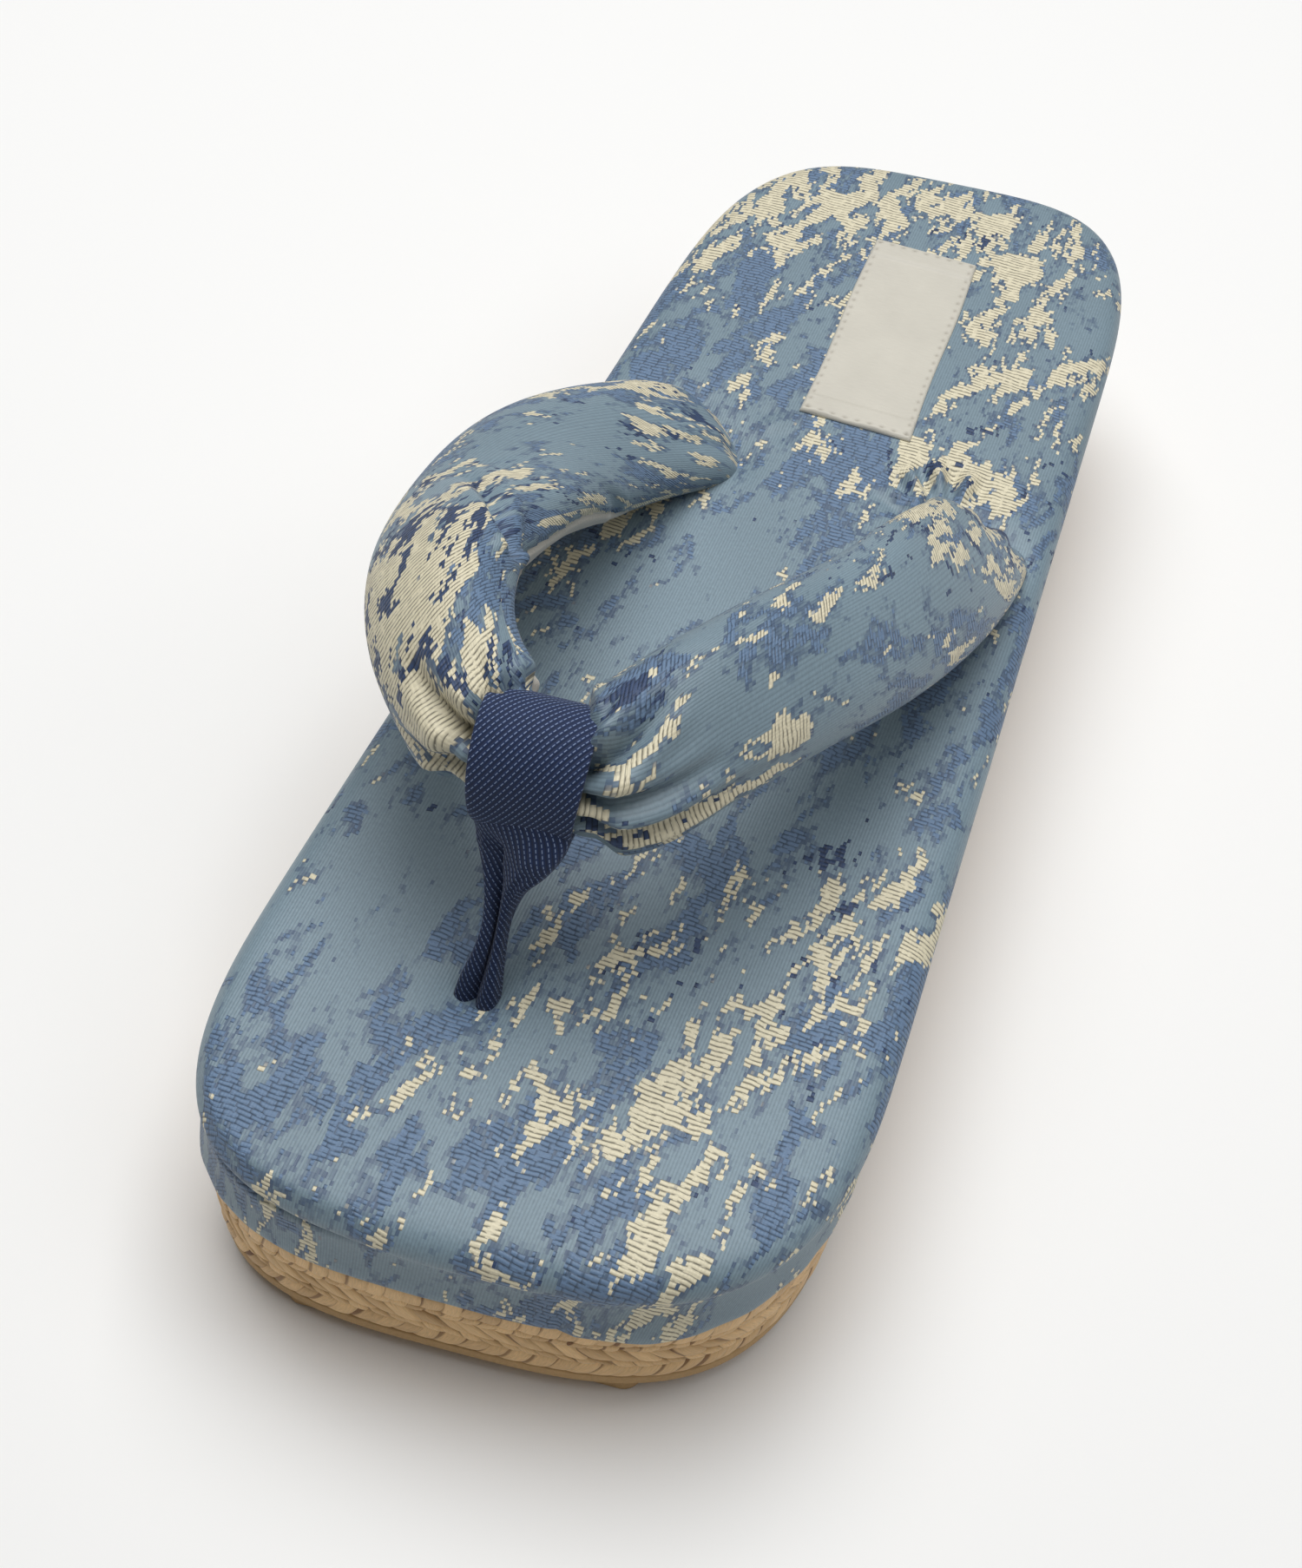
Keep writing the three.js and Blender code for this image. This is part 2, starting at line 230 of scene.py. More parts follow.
# Creases on the strap, each a curve from one place through a second to a third, where it fades
# out. A place is a row of the table above and an angle round the section: 0 is the inner edge, 90
# the middle of the broad face and 180 the outer edge. Width and depth are in millimetres.
STRAP_CREASES = np.array([
    # row0, angle0, row1, angle1, row2, angle2, width, depth
    (7.5, 84.0, 6.95, 86.0, 6.35, 94.0, 1.6, 3.4),
    (7.5, 52.0, 7.0, 46.0, 6.7, 36.0, 1.2, 1.5),
    (7.5, 68.0, 7.1, 66.0, 6.85, 62.0, 0.9, 1.1),
    (7.5, 26.0, 7.1, 20.0, 6.8, 10.0, 1.2, 1.1),
    (7.5, 118.0, 7.0, 128.0, 6.6, 140.0, 1.3, 1.6),
    (7.5, 150.0, 7.1, 158.0, 6.7, 172.0, 1.3, 1.2),
    (7.5, 205.0, 7.0, 210.0, 6.5, 212.0, 1.6, 1.4),
    (7.5, 330.0, 7.0, 325.0, 6.6, 320.0, 1.6, 1.4),
    (8.5, 84.0, 9.05, 72.0, 9.8, 48.0, 1.7, 3.8),
    (8.5, 100.0, 9.1, 102.0, 9.9, 106.0, 1.2, 2.4),
    (8.5, 50.0, 8.95, 42.0, 9.3, 28.0, 1.1, 1.3),
    (8.5, 122.0, 9.3, 130.0, 10.7, 142.0, 1.2, 1.5),
    (8.5, 148.0, 9.2, 154.0, 10.2, 160.0, 1.1, 1.2),
    (8.5, 210.0, 9.0, 214.0, 9.6, 216.0, 1.6, 1.4),
    (8.5, 330.0, 9.0, 325.0, 9.5, 320.0, 1.6, 1.4),
    (5.4, -14.0, 4.85, 36.0, 4.3, 98.0, 1.6, 2.8),
    (5.2, -20.0, 4.6, 30.0, 4.0, 88.0, 5.0, 1.5),
    (3.1, -10.0, 3.3, 10.0, 3.6, 30.0, 1.5, 0.7),
    (0.6, 60.0, 1.2, 62.0, 2.2, 66.0, 1.6, 0.7),
    (0.6, 118.0, 1.3, 116.0, 2.0, 110.0, 1.6, 0.8),
    (15.6, 52.0, 15.0, 54.0, 14.2, 58.0, 1.5, 1.1),
    (15.6, 88.0, 14.8, 90.0, 13.8, 84.0, 1.6, 1.2),
    (15.6, 126.0, 15.0, 124.0, 14.2, 120.0, 1.5, 1.1),
    (12.6, 20.0, 12.2, 40.0, 11.6, 50.0, 1.5, 0.5),
])

# A crease's lower bulges, as shares of its depth and width, and the share over which it sets in
CREASE_BULGE = {"share": 0.35, "aside": 2.1, "width": 0.9}
CREASE_START = 0.06

# The toe loop's band and post
LOOP = {"x": -11.0, "y": -71.2, "rise": 33.0, "half_depth": 6.8, "half_height": 8.6}
BAND_TILT = -20.0
BAND_YAW = 6.0
BAND_THICK = 1.8
BAND_HALF_WIDTH_TOP = 8.2
BAND_HALF_WIDTH_FOOT = 6.8
BAND_POWER = 5.0
BAND_SAG = 0.25
BAND_BOW = 0.35
BAND_FOLD = 0.5
POST = np.array([
    # x, y, rise, width, depth, lean
    (-10.3, -76.4, 31.5, 13.0, 5.0, 0.0),
    (-10.3, -77.9, 27.5, 14.4, 5.2, 0.0),
    (-10.6, -79.0, 23.0, 11.6, 5.2, 0.0),
    (-11.1, -80.3, 17.5, 6.0, 4.8, 0.0),
    (-11.5, -81.9, 12.0, 3.6, 4.4, 0.0),
    (-11.8, -84.1, 6.5, 4.2, 4.4, 0.0),
    (-12.2, -86.8, 0.0, 6.4, 4.6, 0.0),
    (-12.4, -88.8, -6.0, 6.6, 4.6, 0.0),
])
POST_POWER = 3.0
POST_HOLE = (-12.2, -87.0)
# The dips in the deck round the post's hole: depth and spread
HOLE_DIPS = ((1.9, 5.0), (0.5, 11.0))
# The post's front, by radians round it and rows of its table: a slit that sways between two
# plies, each with its height and how far it lies aside, gathers, and a pinch at the band's foot
POST_SLIT = {"sway": 0.25, "width": 0.16, "depth": 0.42}
POST_PLIES = ((0.3, 0.75), (0.2, -0.75))
PLY_WIDTH = 0.4
POST_GATHERS = {"height": 0.22, "count": 14, "row": 2.3, "rows": 0.7}
POST_PINCH = {"depth": 1.6, "width": 0.22, "row": 1.8, "rows": 0.45}

# The plaited strips on the base's side: two sunken rows between three full ones
STRAW_ROWS = np.array([
    # middle, half height, lean, pitch share, sunk
    (0.665, 0.09, 0.8, 0.80, 0.12),
    (0.335, 0.09, -0.8, 0.86, 0.12),
    (0.83, 0.18, 0.7, 0.86, 0.0),
    (0.50, 0.17, -2.2, 1.08, 0.0),
    (0.17, 0.18, 1.7, 1.0, 0.0),
])
STRAW_CORE_INSET = 0.6
# Where the points of a strip lie across it, from one edge at -1 to the other at 1
STRIP_ACROSS = np.array([-1, -0.55, -0.40, -0.26, 0.1, 0.6, 0.9, 1])

LABEL = {"x": 2.4, "y": 73.0, "width": 20.5, "length": 53.0, "turn": 1.7}
LABEL_PLY = 0.42
LABEL_HEM_PLY = 0.30
LABEL_TOP_CLEAR = 0.08
LABEL_UNDER_CLEAR = 0.05
STITCH = {
    "pitch": 2.3, "from_side": 0.9, "from_end": 1.0,
    "width": 0.28, "half_length": 0.42, "dent": 0.22,
}

TREADS = {
    # half width, front, back
    "forefoot_tread": (27.0, -122.0, -48.0),
    "heel_tread": (25.0, 42.0, 112.0),
}
TREAD_CORNER = 2.5
# Which way is in on a tread's front edge, where its outline starts and ends
TREAD_FRONT_INWARD = (0.12, 0.99)
SOLE_EDGE_ROUND = 0.5

# The camera's place and turn, in the same frame as the tables, and where it looks
CAMERA = {
    "place": (51.446, -240.52, 294.444),
    "ahead": (-0.1663, 0.6116, -0.7806),
    "right": (0.9169, 0.3989, 0.0095),
    "focal": 2400.0,
}
IMAGE_HEIGHT = 1806
SENSOR_HEIGHT = 36.0

# The stage, in metres and watts
FLOOR_REACH = 3.0
FLOOR_POINTS = 13
WORLD_STRENGTH = 0.10
LIGHT_AIM_HEIGHT = 0.04
LAMPS = (
    # name, place, size, watts
    ("key_light", (-0.16, 0.26, 1.26), 1.1, 16.8),
    ("side_light", (0.75, -0.05, 1.3), 1.0, 4.0),
)


# Colours and settings

def linear(hex_colour):
    """An sRGB hex value as linear red, green and blue."""
    srgb = np.array([int(hex_colour[i:i + 2], 16) for i in (0, 2, 4)]) / 255
    curve = np.where(srgb <= 0.04045, srgb / 12.92, ((srgb + 0.055) / 1.055) ** 2.4)
    return tuple(float(x) for x in curve)


def colour(label, text, hex_colour):
    return bpy.props.FloatVectorProperty(
        name=label, description=text, subtype="COLOR", size=3, min=0, max=1,
        default=linear(hex_colour),
    )


def distance(label, text, millimetres):
    return bpy.props.FloatProperty(
        name=label, description=text, subtype="DISTANCE", unit="LENGTH", min=0,
        default=millimetres * MM, precision=5,
    )


class SandalSizes(bpy.types.PropertyGroup):
    """Sizes that a user may change."""

    crown: distance("Deck crown", "How far the deck's padding rises in its middle", 0.8)
    float_pitch: distance("Float pitch", "From one brocade float thread to the next", 0.8)
    ground_pitch: distance("Ground pitch", "From one satin warp line to the next", 0.5)
    twill_pitch: distance("Twill pitch", "From one twill line to the next", 0.76)
    strip_pitch: distance("Straw pitch", "From one plaited strip to the next", 3.3)
    strip_bulge: distance("Straw bulge", "How far a plaited strip stands out", 0.6)
    hem: distance("Label hem", "How far the label's ends are turned under", 5.0)


class SandalColours(bpy.types.PropertyGroup):
    """Colours that a user may change."""

    ground: colour("Brocade ground", "Satin ground of the brocade", "7a8e9a")
    blue: colour("Blue floats", "Raised blue threads of the brocade", "667e9b")
    cream: colour("Cream floats", "Raised cream threads of the brocade", "dcd4b9")
    # Navy is the colour of real dark floats, and also of the painted shadow line beside a float
    navy: colour("Navy floats", "Dark threads of the brocade, and the line beside a float", "35486a")
    lining: colour("Strap lining", "Plain cloth under the strap", "c4bfb4")
    twill: colour("Twill", "Ground of the toe loop's twill", "112850")
    fleck: colour("Twill fleck", "Pale thread of the toe loop's twill", "8496b8")
    straw: colour("Straw", "Lit face of a straw strip", "ecc58e")
    # The shaded straw is painted shade: the straw as it looks in the gaps and under the next strip
    shaded_straw: colour("Dark straw", "Straw in the gaps between strips", "774f26")
    rubber: colour("Sole", "Tan rubber of the sole", "c2a072")
    label: colour("Label", "Satin of the label", "cdc9bd")
    stitch: colour("Label stitches", "Thread of the label's stitches", "9a9488")
    floor: colour("Floor", "Pale floor under the sandal", "f5f5f4")


# Curves and surfaces

def smooth(low, high, x):
    """0 up to low, 1 from high on, and an S between them."""
    t = np.clip((x - low) / (high - low), 0, 1)
    return t * t * (3 - 2 * t)


def bell(x, width):
    """1 at zero, falling away as a Gaussian bell of that half width."""
    return np.exp(-(x / width) ** 2)


def unit(vectors):
    """Each vector over its own length."""
    return vectors / np.linalg.norm(vectors, axis=-1, keepdims=True)


def degrees_apart(degrees, at):
    """The angle from at, between -180 and 180."""
    return (degrees - at + 180) % 360 - 180


def lengths(points, axis=0):
    """The length from the start of each line of points: the sum of the steps before each point."""
    step = np.linalg.norm(np.diff(points, axis=axis), axis=-1)
    start = np.zeros_like(step.take([0], axis))
    return np.concatenate([start, np.cumsum(step, axis=axis)], axis=axis)


def closing(ring, steps, middle=None):
    """Rings that close a ring of points: copies of it shrunk evenly to its middle."""
    middle = ring.mean(0) if middle is None else middle
    return middle + (ring - middle) * np.linspace(1, 0, steps)[:, None, None]


def along_length(y, at_toe, at_heel):
    """A value that changes evenly from the toe's end to the heel's."""
    return at_toe + (at_heel - at_toe) * (y / LENGTH + 0.5)


def deck_top(y):
    return along_length(y, TOE_HEIGHT, HEEL_HEIGHT)


def deck_thick(y):
    return along_length(y, DECK_THICK_TOE, DECK_THICK_HEEL)


def deck_underside(y):
    return deck_top(y) - deck_thick(y)


def curve_through(rows, t, power):
    """A Catmull-Rom curve through rows, at t counted in rows. Each piece is the cubic through its
    two rows whose slopes come from their neighbours, with knots spaced by distance to the power:
    0 is even spacing and 0.5 is centripetal."""
    rows = np.asarray(rows, dtype=float)
    shape = rows.shape
    flat = rows.reshape(shape[0], -1)
    flat = np.vstack([2 * flat[0] - flat[1], flat, 2 * flat[-1] - flat[-2]])
    step = np.linalg.norm(np.diff(flat, axis=0), axis=1) ** power
    i = np.clip(np.floor(t).astype(int), 0, shape[0] - 2)
    u = (np.asarray(t) - i)[:, None]
    p0, p1, p2, p3 = (flat[i + k] for k in range(4))
    d0, d1, d2 = (step[i + k][:, None] for k in range(3))
    m1 = ((p1 - p0) / d0 - (p2 - p0) / (d0 + d1) + (p2 - p1) / d1) * d1
    m2 = ((p2 - p1) / d1 - (p3 - p1) / (d1 + d2) + (p3 - p2) / d2) * d1
    cubic = p1 + m1 * u + (3 * (p2 - p1) - 2 * m1 - m2) * u ** 2
    cubic = cubic + (2 * (p1 - p2) + m1 + m2) * u ** 3
    return cubic.reshape((len(u),) + shape[1:])


def outline(count):
    """The deck's outline as count + 1 points, the last on the first, with each point's inward
    normal and its run along the outline from the toe. The sides are straight lines that close in
    towards the heel, each end a superellipse, and the whole is sheared back by END_LEAN."""
    angle = np.linspace(0, np.pi / 2, GRID["end_curve"])
    x, y = [], []
    for end, turn in ((TOE_ROUND, 1), (HEEL_ROUND, -1)):
        across = np.sin(angle) ** (2 / end["power"])
        along = end["depth"] * (1 - np.cos(angle).clip(0) ** (2 / end["power"]))
        at = turn * (along - LENGTH / 2)
        half = along_length(at, TOE_HALF_WIDTH, HEEL_HALF_WIDTH)
        x.append((across * half)[::turn])
        y.append(at[::turn])
    x, y = np.concatenate(x), np.concatenate(y)
    x = np.concatenate([x, -x[-2::-1]])
    y = np.concatenate([y, y[-2::-1]])
    line = np.stack([x, y + END_LEAN * x], 1)
    keep = np.r_[True, np.linalg.norm(np.diff(line, axis=0), axis=1) > 1e-6]
    line = line[keep]
    reach = lengths(line)
    run = np.linspace(0, reach[-1], count + 1)
    points = np.stack([np.interp(run, reach, line[:, k]) for k in (0, 1)], 1)
    slope = np.roll(points[:-1], -1, 0) - np.roll(points[:-1], 1, 0)
    slope = np.vstack([slope, slope[:1]])
    inward = unit(np.stack([-slope[:, 1], slope[:, 0]], 1))
    return points, inward, run


def swept_frame(rows, t):
    """Centre, broad and facing directions, sizes and run of a swept section at each t, as in the
    solid: facing is up, square to the path, turned outward by the lean, and broad is across it."""
    centres = np.stack([rows[:, 0], rows[:, 1], deck_top(rows[:, 1]) + rows[:, 2]], 1)
    centre = curve_through(centres, t, 0.5)
    sizes = curve_through(rows[:, 3:6], t, 0.0)
    ahead = unit(np.gradient(centre, t, axis=0))
    up = np.array([0.0, 0.0, 1.0])
    raised = unit(up - ahead * ahead[:, 2:3])
    outward = np.cross(ahead, raised)
    lean = np.radians(sizes[:, 2:3])
    facing = raised * np.cos(lean) + outward * np.sin(lean)
    broad = np.cross(facing, ahead)
    return centre, broad, facing, sizes, lengths(centre)


def carried(centre, broad, facing, side):
    """Points of a section at each centre: side holds how far they lie along broad and facing."""
    return centre[:, None] + broad[:, None] * side[..., :1] + facing[:, None] * side[..., 1:]


def oval(angle, power):
    """A superellipse of unit half sizes, at each angle."""
    c, s = np.cos(angle), np.sin(angle)
    return np.sign(c) * np.abs(c) ** (2 / power), np.sign(s) * np.abs(s) ** (2 / power)


def deck_relief(x, y, crown):
    """How far the deck's cloth stands above its flat top: a crown, slow waves of the padding,
    dips round the post's hole and the strap's two slits, and the puckers' ridges."""
    half = along_length(y, TOE_HALF_WIDTH, HEEL_HALF_WIDTH)
    lift = crown * (1 - (x / half) ** 2).clip(0) * (1 - (2 * y / LENGTH) ** 4).clip(0)
    lift += 0.16 * np.sin(x / 17 + 1.3) * np.sin(y / 23 + 0.4)
    lift += 0.08 * np.sin(x / 7.3 + y / 11) * np.sin(y / 9.1 + 2.0)
    hole = np.hypot(x - POST_HOLE[0], y - POST_HOLE[1])
    lift -= sum(depth * bell(hole, spread) for depth, spread in HOLE_DIPS)
    for sx, sy, turn, long, deep in SLITS:
        c, s = math.cos(math.radians(turn)), math.sin(math.radians(turn))
        a = (x - sx) * c + (y - sy) * s
        b = (y - sy) * c - (x - sx) * s
        lift -= deep * np.exp(-(a / long) ** 4 - (b / SLIT_HALF_WIDTH) ** 2)
    for x0, y0, x1, y1, height, width in PUCKERS:
        span = math.hypot(x1 - x0, y1 - y0)
        a = ((x - x0) * (x1 - x0) + (y - y0) * (y1 - y0)) / span
        b = ((x - x0) * (y1 - y0) - (y - y0) * (x1 - x0)) / span
        fade = smooth(-1, 2, a) * (1 - smooth(0.35 * span, span, a))
        lift += height * fade * (bell(b, width) - 0.5 * bell(np.abs(b) - 1.9 * width, width))
    return lift


# Meshes

def make_piece(name, patches, materials, node_names, closed=True, tone=False):
    """One object from grids of points in millimetres. A patch is (points, cloth, material, tone):
    points are one grid of rows by columns or n of them, and cloth their flat coordinates in
    millimetres, or None. Grids that touch are welded, so that seams and poles close."""
    points, cloth, quads, slots, tones = [], [], [], [], []
    first = 0
    for at, flat, which, shade in patches:
        at = np.asarray(at, dtype=float)
        flat = np.zeros(2) if flat is None else np.asarray(flat)
        if at.ndim == 3:
            at, flat = at[None], flat[None]
        n, rows, cols = at.shape[:3]
        index = first + np.arange(n * rows * cols).reshape(n, rows, cols)
        corners = (index[:, :-1, :-1], index[:, :-1, 1:], index[:, 1:, 1:], index[:, 1:, :-1])
        quads.append(np.stack(corners, -1).reshape(-1, 4))
        slots.append(np.full(len(quads[-1]), which) if np.isscalar(which) else np.ravel(which))
        points.append(at.reshape(-1, 3))
        cloth.append(np.broadcast_to(flat, at.shape[:3] + (2,)).reshape(-1, 2))
        tones.append(np.broadcast_to(shade, (n, rows, cols)).reshape(-1))
        first += n * rows * cols
    points, cloth, quads = np.vstack(points), np.vstack(cloth), np.vstack(quads)
    mesh = bpy.data.meshes.new(name)
    mesh.from_pydata(((points + MIDDLE) * MM).tolist(), [], quads.tolist())
    layer = mesh.uv_layers.new(name="cloth", do_init=False)
    layer.uv.foreach_set("vector", cloth[quads.ravel()].astype(np.float32).ravel())
    mesh.polygons.foreach_set("material_index", np.concatenate(slots).astype(np.int32))
    if tone:
        shade = mesh.attributes.new("tone", "FLOAT", "POINT")
        shade.data.foreach_set("value", np.concatenate(tones).astype(np.float32))
    work = bmesh.new()
    work.from_mesh(mesh)
    bmesh.ops.remove_doubles(work, verts=work.verts, dist=1e-7)
    bmesh.ops.dissolve_degenerate(work, edges=work.edges, dist=1e-8)
    if closed:
        bmesh.ops.recalc_face_normals(work, faces=work.faces)
    work.to_mesh(mesh)
    work.free()
    mesh.shade_smooth()
    for material in materials:
        mesh.materials.append(material)
    piece = bpy.data.objects.new(name, mesh)
    bpy.context.scene.collection.objects.link(piece)
    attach(piece, BODY)
    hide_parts(*node_names)
    return piece


# Materials

def add(tree, kind, inputs=None, out=0, **settings):
    """Adds a shader node of that kind with its settings. Each input is a value to set or a socket to
    link. Gives back one output socket."""
    made = tree.nodes.new("ShaderNode" + kind)
    for key, value in settings.items():
        setattr(made, key, value)
    for key, value in (inputs or {}).items():
        if isinstance(value, bpy.types.NodeSocket):
            tree.links.new(value, made.inputs[key])
        else:
            made.inputs[key].default_value = value
    return made.outputs[out]


def new_material(name, **sockets):
    """A material of one Principled shader with these constant sockets, and its node tree."""
    material = bpy.data.materials.new(name)
    material.use_nodes = True
    tree = material.node_tree
    shader = tree.nodes["Principled BSDF"]
    for key, value in sockets.items():
        shader.inputs[key.replace("_", " ")].default_value = value
    return material, tree, shader


def rgba(three):
    return (*three, 1.0)


def ridges(tree, length, pitch):
    """Round threads side by side, from 0 in the gaps to 1: the sine of a length, without its sign,
    with one thread to each pitch."""
    turn = add(tree, "Math", {0: length, 1: math.pi / pitch}, operation="MULTIPLY")
    wave = add(tree, "Math", {0: turn}, operation="SINE")
    return add(tree, "Math", {0: wave}, operation="ABSOLUTE")


def brocade(colours, sizes):
    """Silk-like jacquard brocade: a satin ground with fine lengthwise lines, and patches of raised
    weft floats, blue, cream or navy, that end in steps from thread to thread. It gives the eye a soft
    gloss on the ground, and dark lines between and beside the floats: painted shade in the gaps
    between a float's threads, and a painted shadow on the ground beside each float."""
    name = "jacquard_brocade"
    if name in bpy.data.materials:
        return bpy.data.materials[name]
    material, tree, shader = new_material(
        name, Sheen_Weight=0.08, Sheen_Roughness=0.4, Specular_IOR_Level=0.45, IOR=1.5,
    )
    pitch, line = sizes.float_pitch / MM, sizes.ground_pitch / MM
    flat = add(tree, "UVMap", uv_map="cloth")
    across = add(tree, "SeparateXYZ", {0: flat})
    ruled = across.node.outputs[1]
    # The threads wander a little to each side
    sway = add(tree, "TexNoise", {"Vector": flat, "Scale": 0.18, "Detail": 2})
    sway = add(tree, "MapRange", {"Value": sway, "To Min": -0.7, "To Max": 0.7})
    along = add(tree, "Math", {0: ruled, 1: sway}, operation="ADD")
    # Every thread starts and ends where it likes, in steps of half a millimetre
    thread = add(tree, "Math", {0: along, 1: pitch}, operation="SNAP")
    start = add(tree, "TexWhiteNoise", {"W": thread}, noise_dimensions="1D")
    ragged = add(tree, "Math", {0: start, 1: 0.7, 2: across}, operation="MULTIPLY_ADD")
    stepped = add(tree, "Math", {0: ragged, 1: 0.5}, operation="SNAP")
    leaning = add(tree, "Math", {0: thread, 1: -0.12, 2: stepped}, operation="MULTIPLY_ADD")
    masks, overs = {}, {}
    amount = add(tree, "Attribute", attribute_name="tone", out=2)
    # Streaks some millimetres wide and longer than that, in clusters, with specks among them
    kinds = (
        # which, seed, width, shortening, level where rare, level where common
        ("cream", 96.0, 4.6, 0.38, 0.70, 0.45),
        ("blue", 1293.0, 6.0, 0.45, 0.575, 0.545),
        ("navy", 2210.0, 3.6, 0.50, 0.78, 0.57),
    )
    for which, seed, size, short, rare, common in kinds:
        shorter = add(tree, "Math", {0: thread, 1: short}, operation="MULTIPLY")
        spot = add(tree, "CombineXYZ", {0: leaning, 1: shorter, 2: seed})
        streaks = add(
            tree, "TexNoise",
            {"Vector": spot, "Scale": 1 / size, "Detail": 4, "Roughness": 0.62, "Distortion": 0.6},
        )
        cluster = add(tree, "TexNoise", {"Vector": spot, "Scale": 1 / 22, "Detail": 1})
        near = add(tree, "MapRange", {"Value": cluster, "To Min": -0.18, "To Max": 0.18})
        specks = add(tree, "TexNoise", {"Vector": spot, "Scale": 1 / 1.1, "Detail": 1})
        small = add(tree, "MapRange", {"Value": specks, "To Min": -0.09, "To Max": 0.09})
        noise = add(tree, "Math", {0: streaks, 1: near}, operation="ADD")
        noise = add(tree, "Math", {0: noise, 1: small}, operation="ADD")
        level = add(
            tree, "MapRange", {"Value": amount, "To Min": rare, "To Max": common},
            clamp=which != "cream",
        )
        overs[which] = add(tree, "Math", {0: noise, 1: level}, operation="SUBTRACT")
        masks[which] = add(
            tree, "MapRange", {"Value": overs[which], "From Min": -0.002, "From Max": 0.002},
        )
    floats = add(tree, "Math", {0: masks["cream"], 1: masks["blue"]}, operation="MAXIMUM")
    floats = add(tree, "Math", {0: floats, 1: masks["navy"]}, operation="MAXIMUM")
    # Painted shadow: a dark navy line on the ground beside the cream and the blue floats, where a
    # raised float would shade it
    edges = add(tree, "Math", {0: overs["cream"], 1: overs["blue"]}, operation="MAXIMUM")
    edges = add(tree, "MapRange", {"Value": edges, "From Min": -0.05, "From Max": -0.004})
    # Rounded threads, tied down in broken lines
    gap_line = ridges(tree, along, pitch)
    tie_spot = add(tree, "CombineXYZ", {0: ragged, 1: thread})
    ties = add(tree, "TexNoise", {"Vector": tie_spot, "Scale": 0.75, "Detail": 1})
    tied = add(
        tree, "MapRange",
        {"Value": ties, "From Min": 0.40, "From Max": 0.52, "To Min": 0.7, "To Max": 0.0},
    )
    round_thread = add(tree, "Math", {0: gap_line, 1: tied}, operation="MAXIMUM")
    warp = ridges(tree, across, line)
    fine = add(tree, "TexNoise", {"Vector": flat, "Scale": 1.6, "Detail": 2})
    slow = add(tree, "TexNoise", {"Vector": flat, "Scale": 1 / 40, "Detail": 2})
    # Ground: warp lines, a fine mottle, and a slow change of tone
    lines = add(tree, "MapRange", {"Value": warp, "To Min": 0.84, "To Max": 1.05})
    mottle = add(tree, "MapRange", {"Value": fine, "To Min": 0.82, "To Max": 1.18})
    drift = add(tree, "MapRange", {"Value": slow, "To Min": 0.82, "To Max": 1.18})
    tint = add(tree, "Math", {0: lines, 1: mottle}, operation="MULTIPLY")
    tint = add(tree, "Math", {0: tint, 1: drift}, operation="MULTIPLY")
    ground = add(tree, "VectorMath", {0: colours.ground, "Scale": tint}, operation="SCALE")
    # Painted shadow: the ground is mixed towards navy beside the floats
    dark = add(tree, "Math", {0: edges, 1: 0.72}, operation="MULTIPLY")
    ground = add(
        tree, "Mix", {0: dark, 6: ground, 7: rgba(colours.navy)}, out=2, data_type="RGBA",
    )
    # Painted shade on the floats: each thread's colour darkens across its round towards the gaps
    # between threads
    thread_gap_shade = add(
        tree, "MapRange",
        {"Value": round_thread, "From Min": 0.1, "From Max": 0.75, "To Min": 0.24, "To Max": 1.04},
    )
    thread_gap_shade = add(tree, "Math", {0: thread_gap_shade, 1: mottle}, operation="MULTIPLY")
    # Blue floats are short: each thread dips under every couple of millimetres, and painted shade
    # darkens it there
    dip = add(tree, "Math", {0: start, 1: 5.0, 2: ragged}, operation="MULTIPLY_ADD")
    dip = add(tree, "Math", {0: dip, 1: 2.3}, operation="FLOORED_MODULO")
    dip = add(
        tree, "MapRange",
        {"Value": dip, "From Min": 0.1, "From Max": 0.45, "To Min": 0.45, "To Max": 1.0},
    )
    short_thread_shade = add(tree, "Math", {0: thread_gap_shade, 1: dip}, operation="MULTIPLY")
    short_thread_shade = add(tree, "Math", {0: short_thread_shade, 1: 0.8, 2: 0.2}, operation="MULTIPLY_ADD")
    cloth = ground
    # Each float colour is scaled by its painted thread shade
    for which, light in (("blue", short_thread_shade), ("cream", thread_gap_shade), ("navy", short_thread_shade)):
        tone = add(
            tree, "VectorMath", {0: getattr(colours, which), "Scale": light}, operation="SCALE",
        )
        cloth = add(tree, "Mix", {0: masks[which], 6: cloth, 7: tone}, out=2, data_type="RGBA")
    tree.links.new(cloth, shader.inputs["Base Color"])
    # Floats stand about a quarter of a millimetre above the ground
    raised = add(tree, "Math", {0: round_thread, 1: 0.6, 2: 0.4}, operation="MULTIPLY_ADD")
    raised = add(tree, "Math", {0: raised, 1: floats}, operation="MULTIPLY")
    height = add(tree, "Math", {0: warp, 1: 0.16, 2: raised}, operation="MULTIPLY_ADD")
    height = add(tree, "Math", {0: fine, 1: 0.2, 2: height}, operation="MULTIPLY_ADD")
    bump = add(tree, "Bump", {"Height": height, "Strength": 0.7, "Distance": 0.00025})
    tree.links.new(bump, shader.inputs["Normal"])
    gloss = add(tree, "MapRange", {"Value": floats, "To Min": 0.48, "To Max": 0.55})
    tree.links.new(gloss, shader.inputs["Roughness"])
    return material


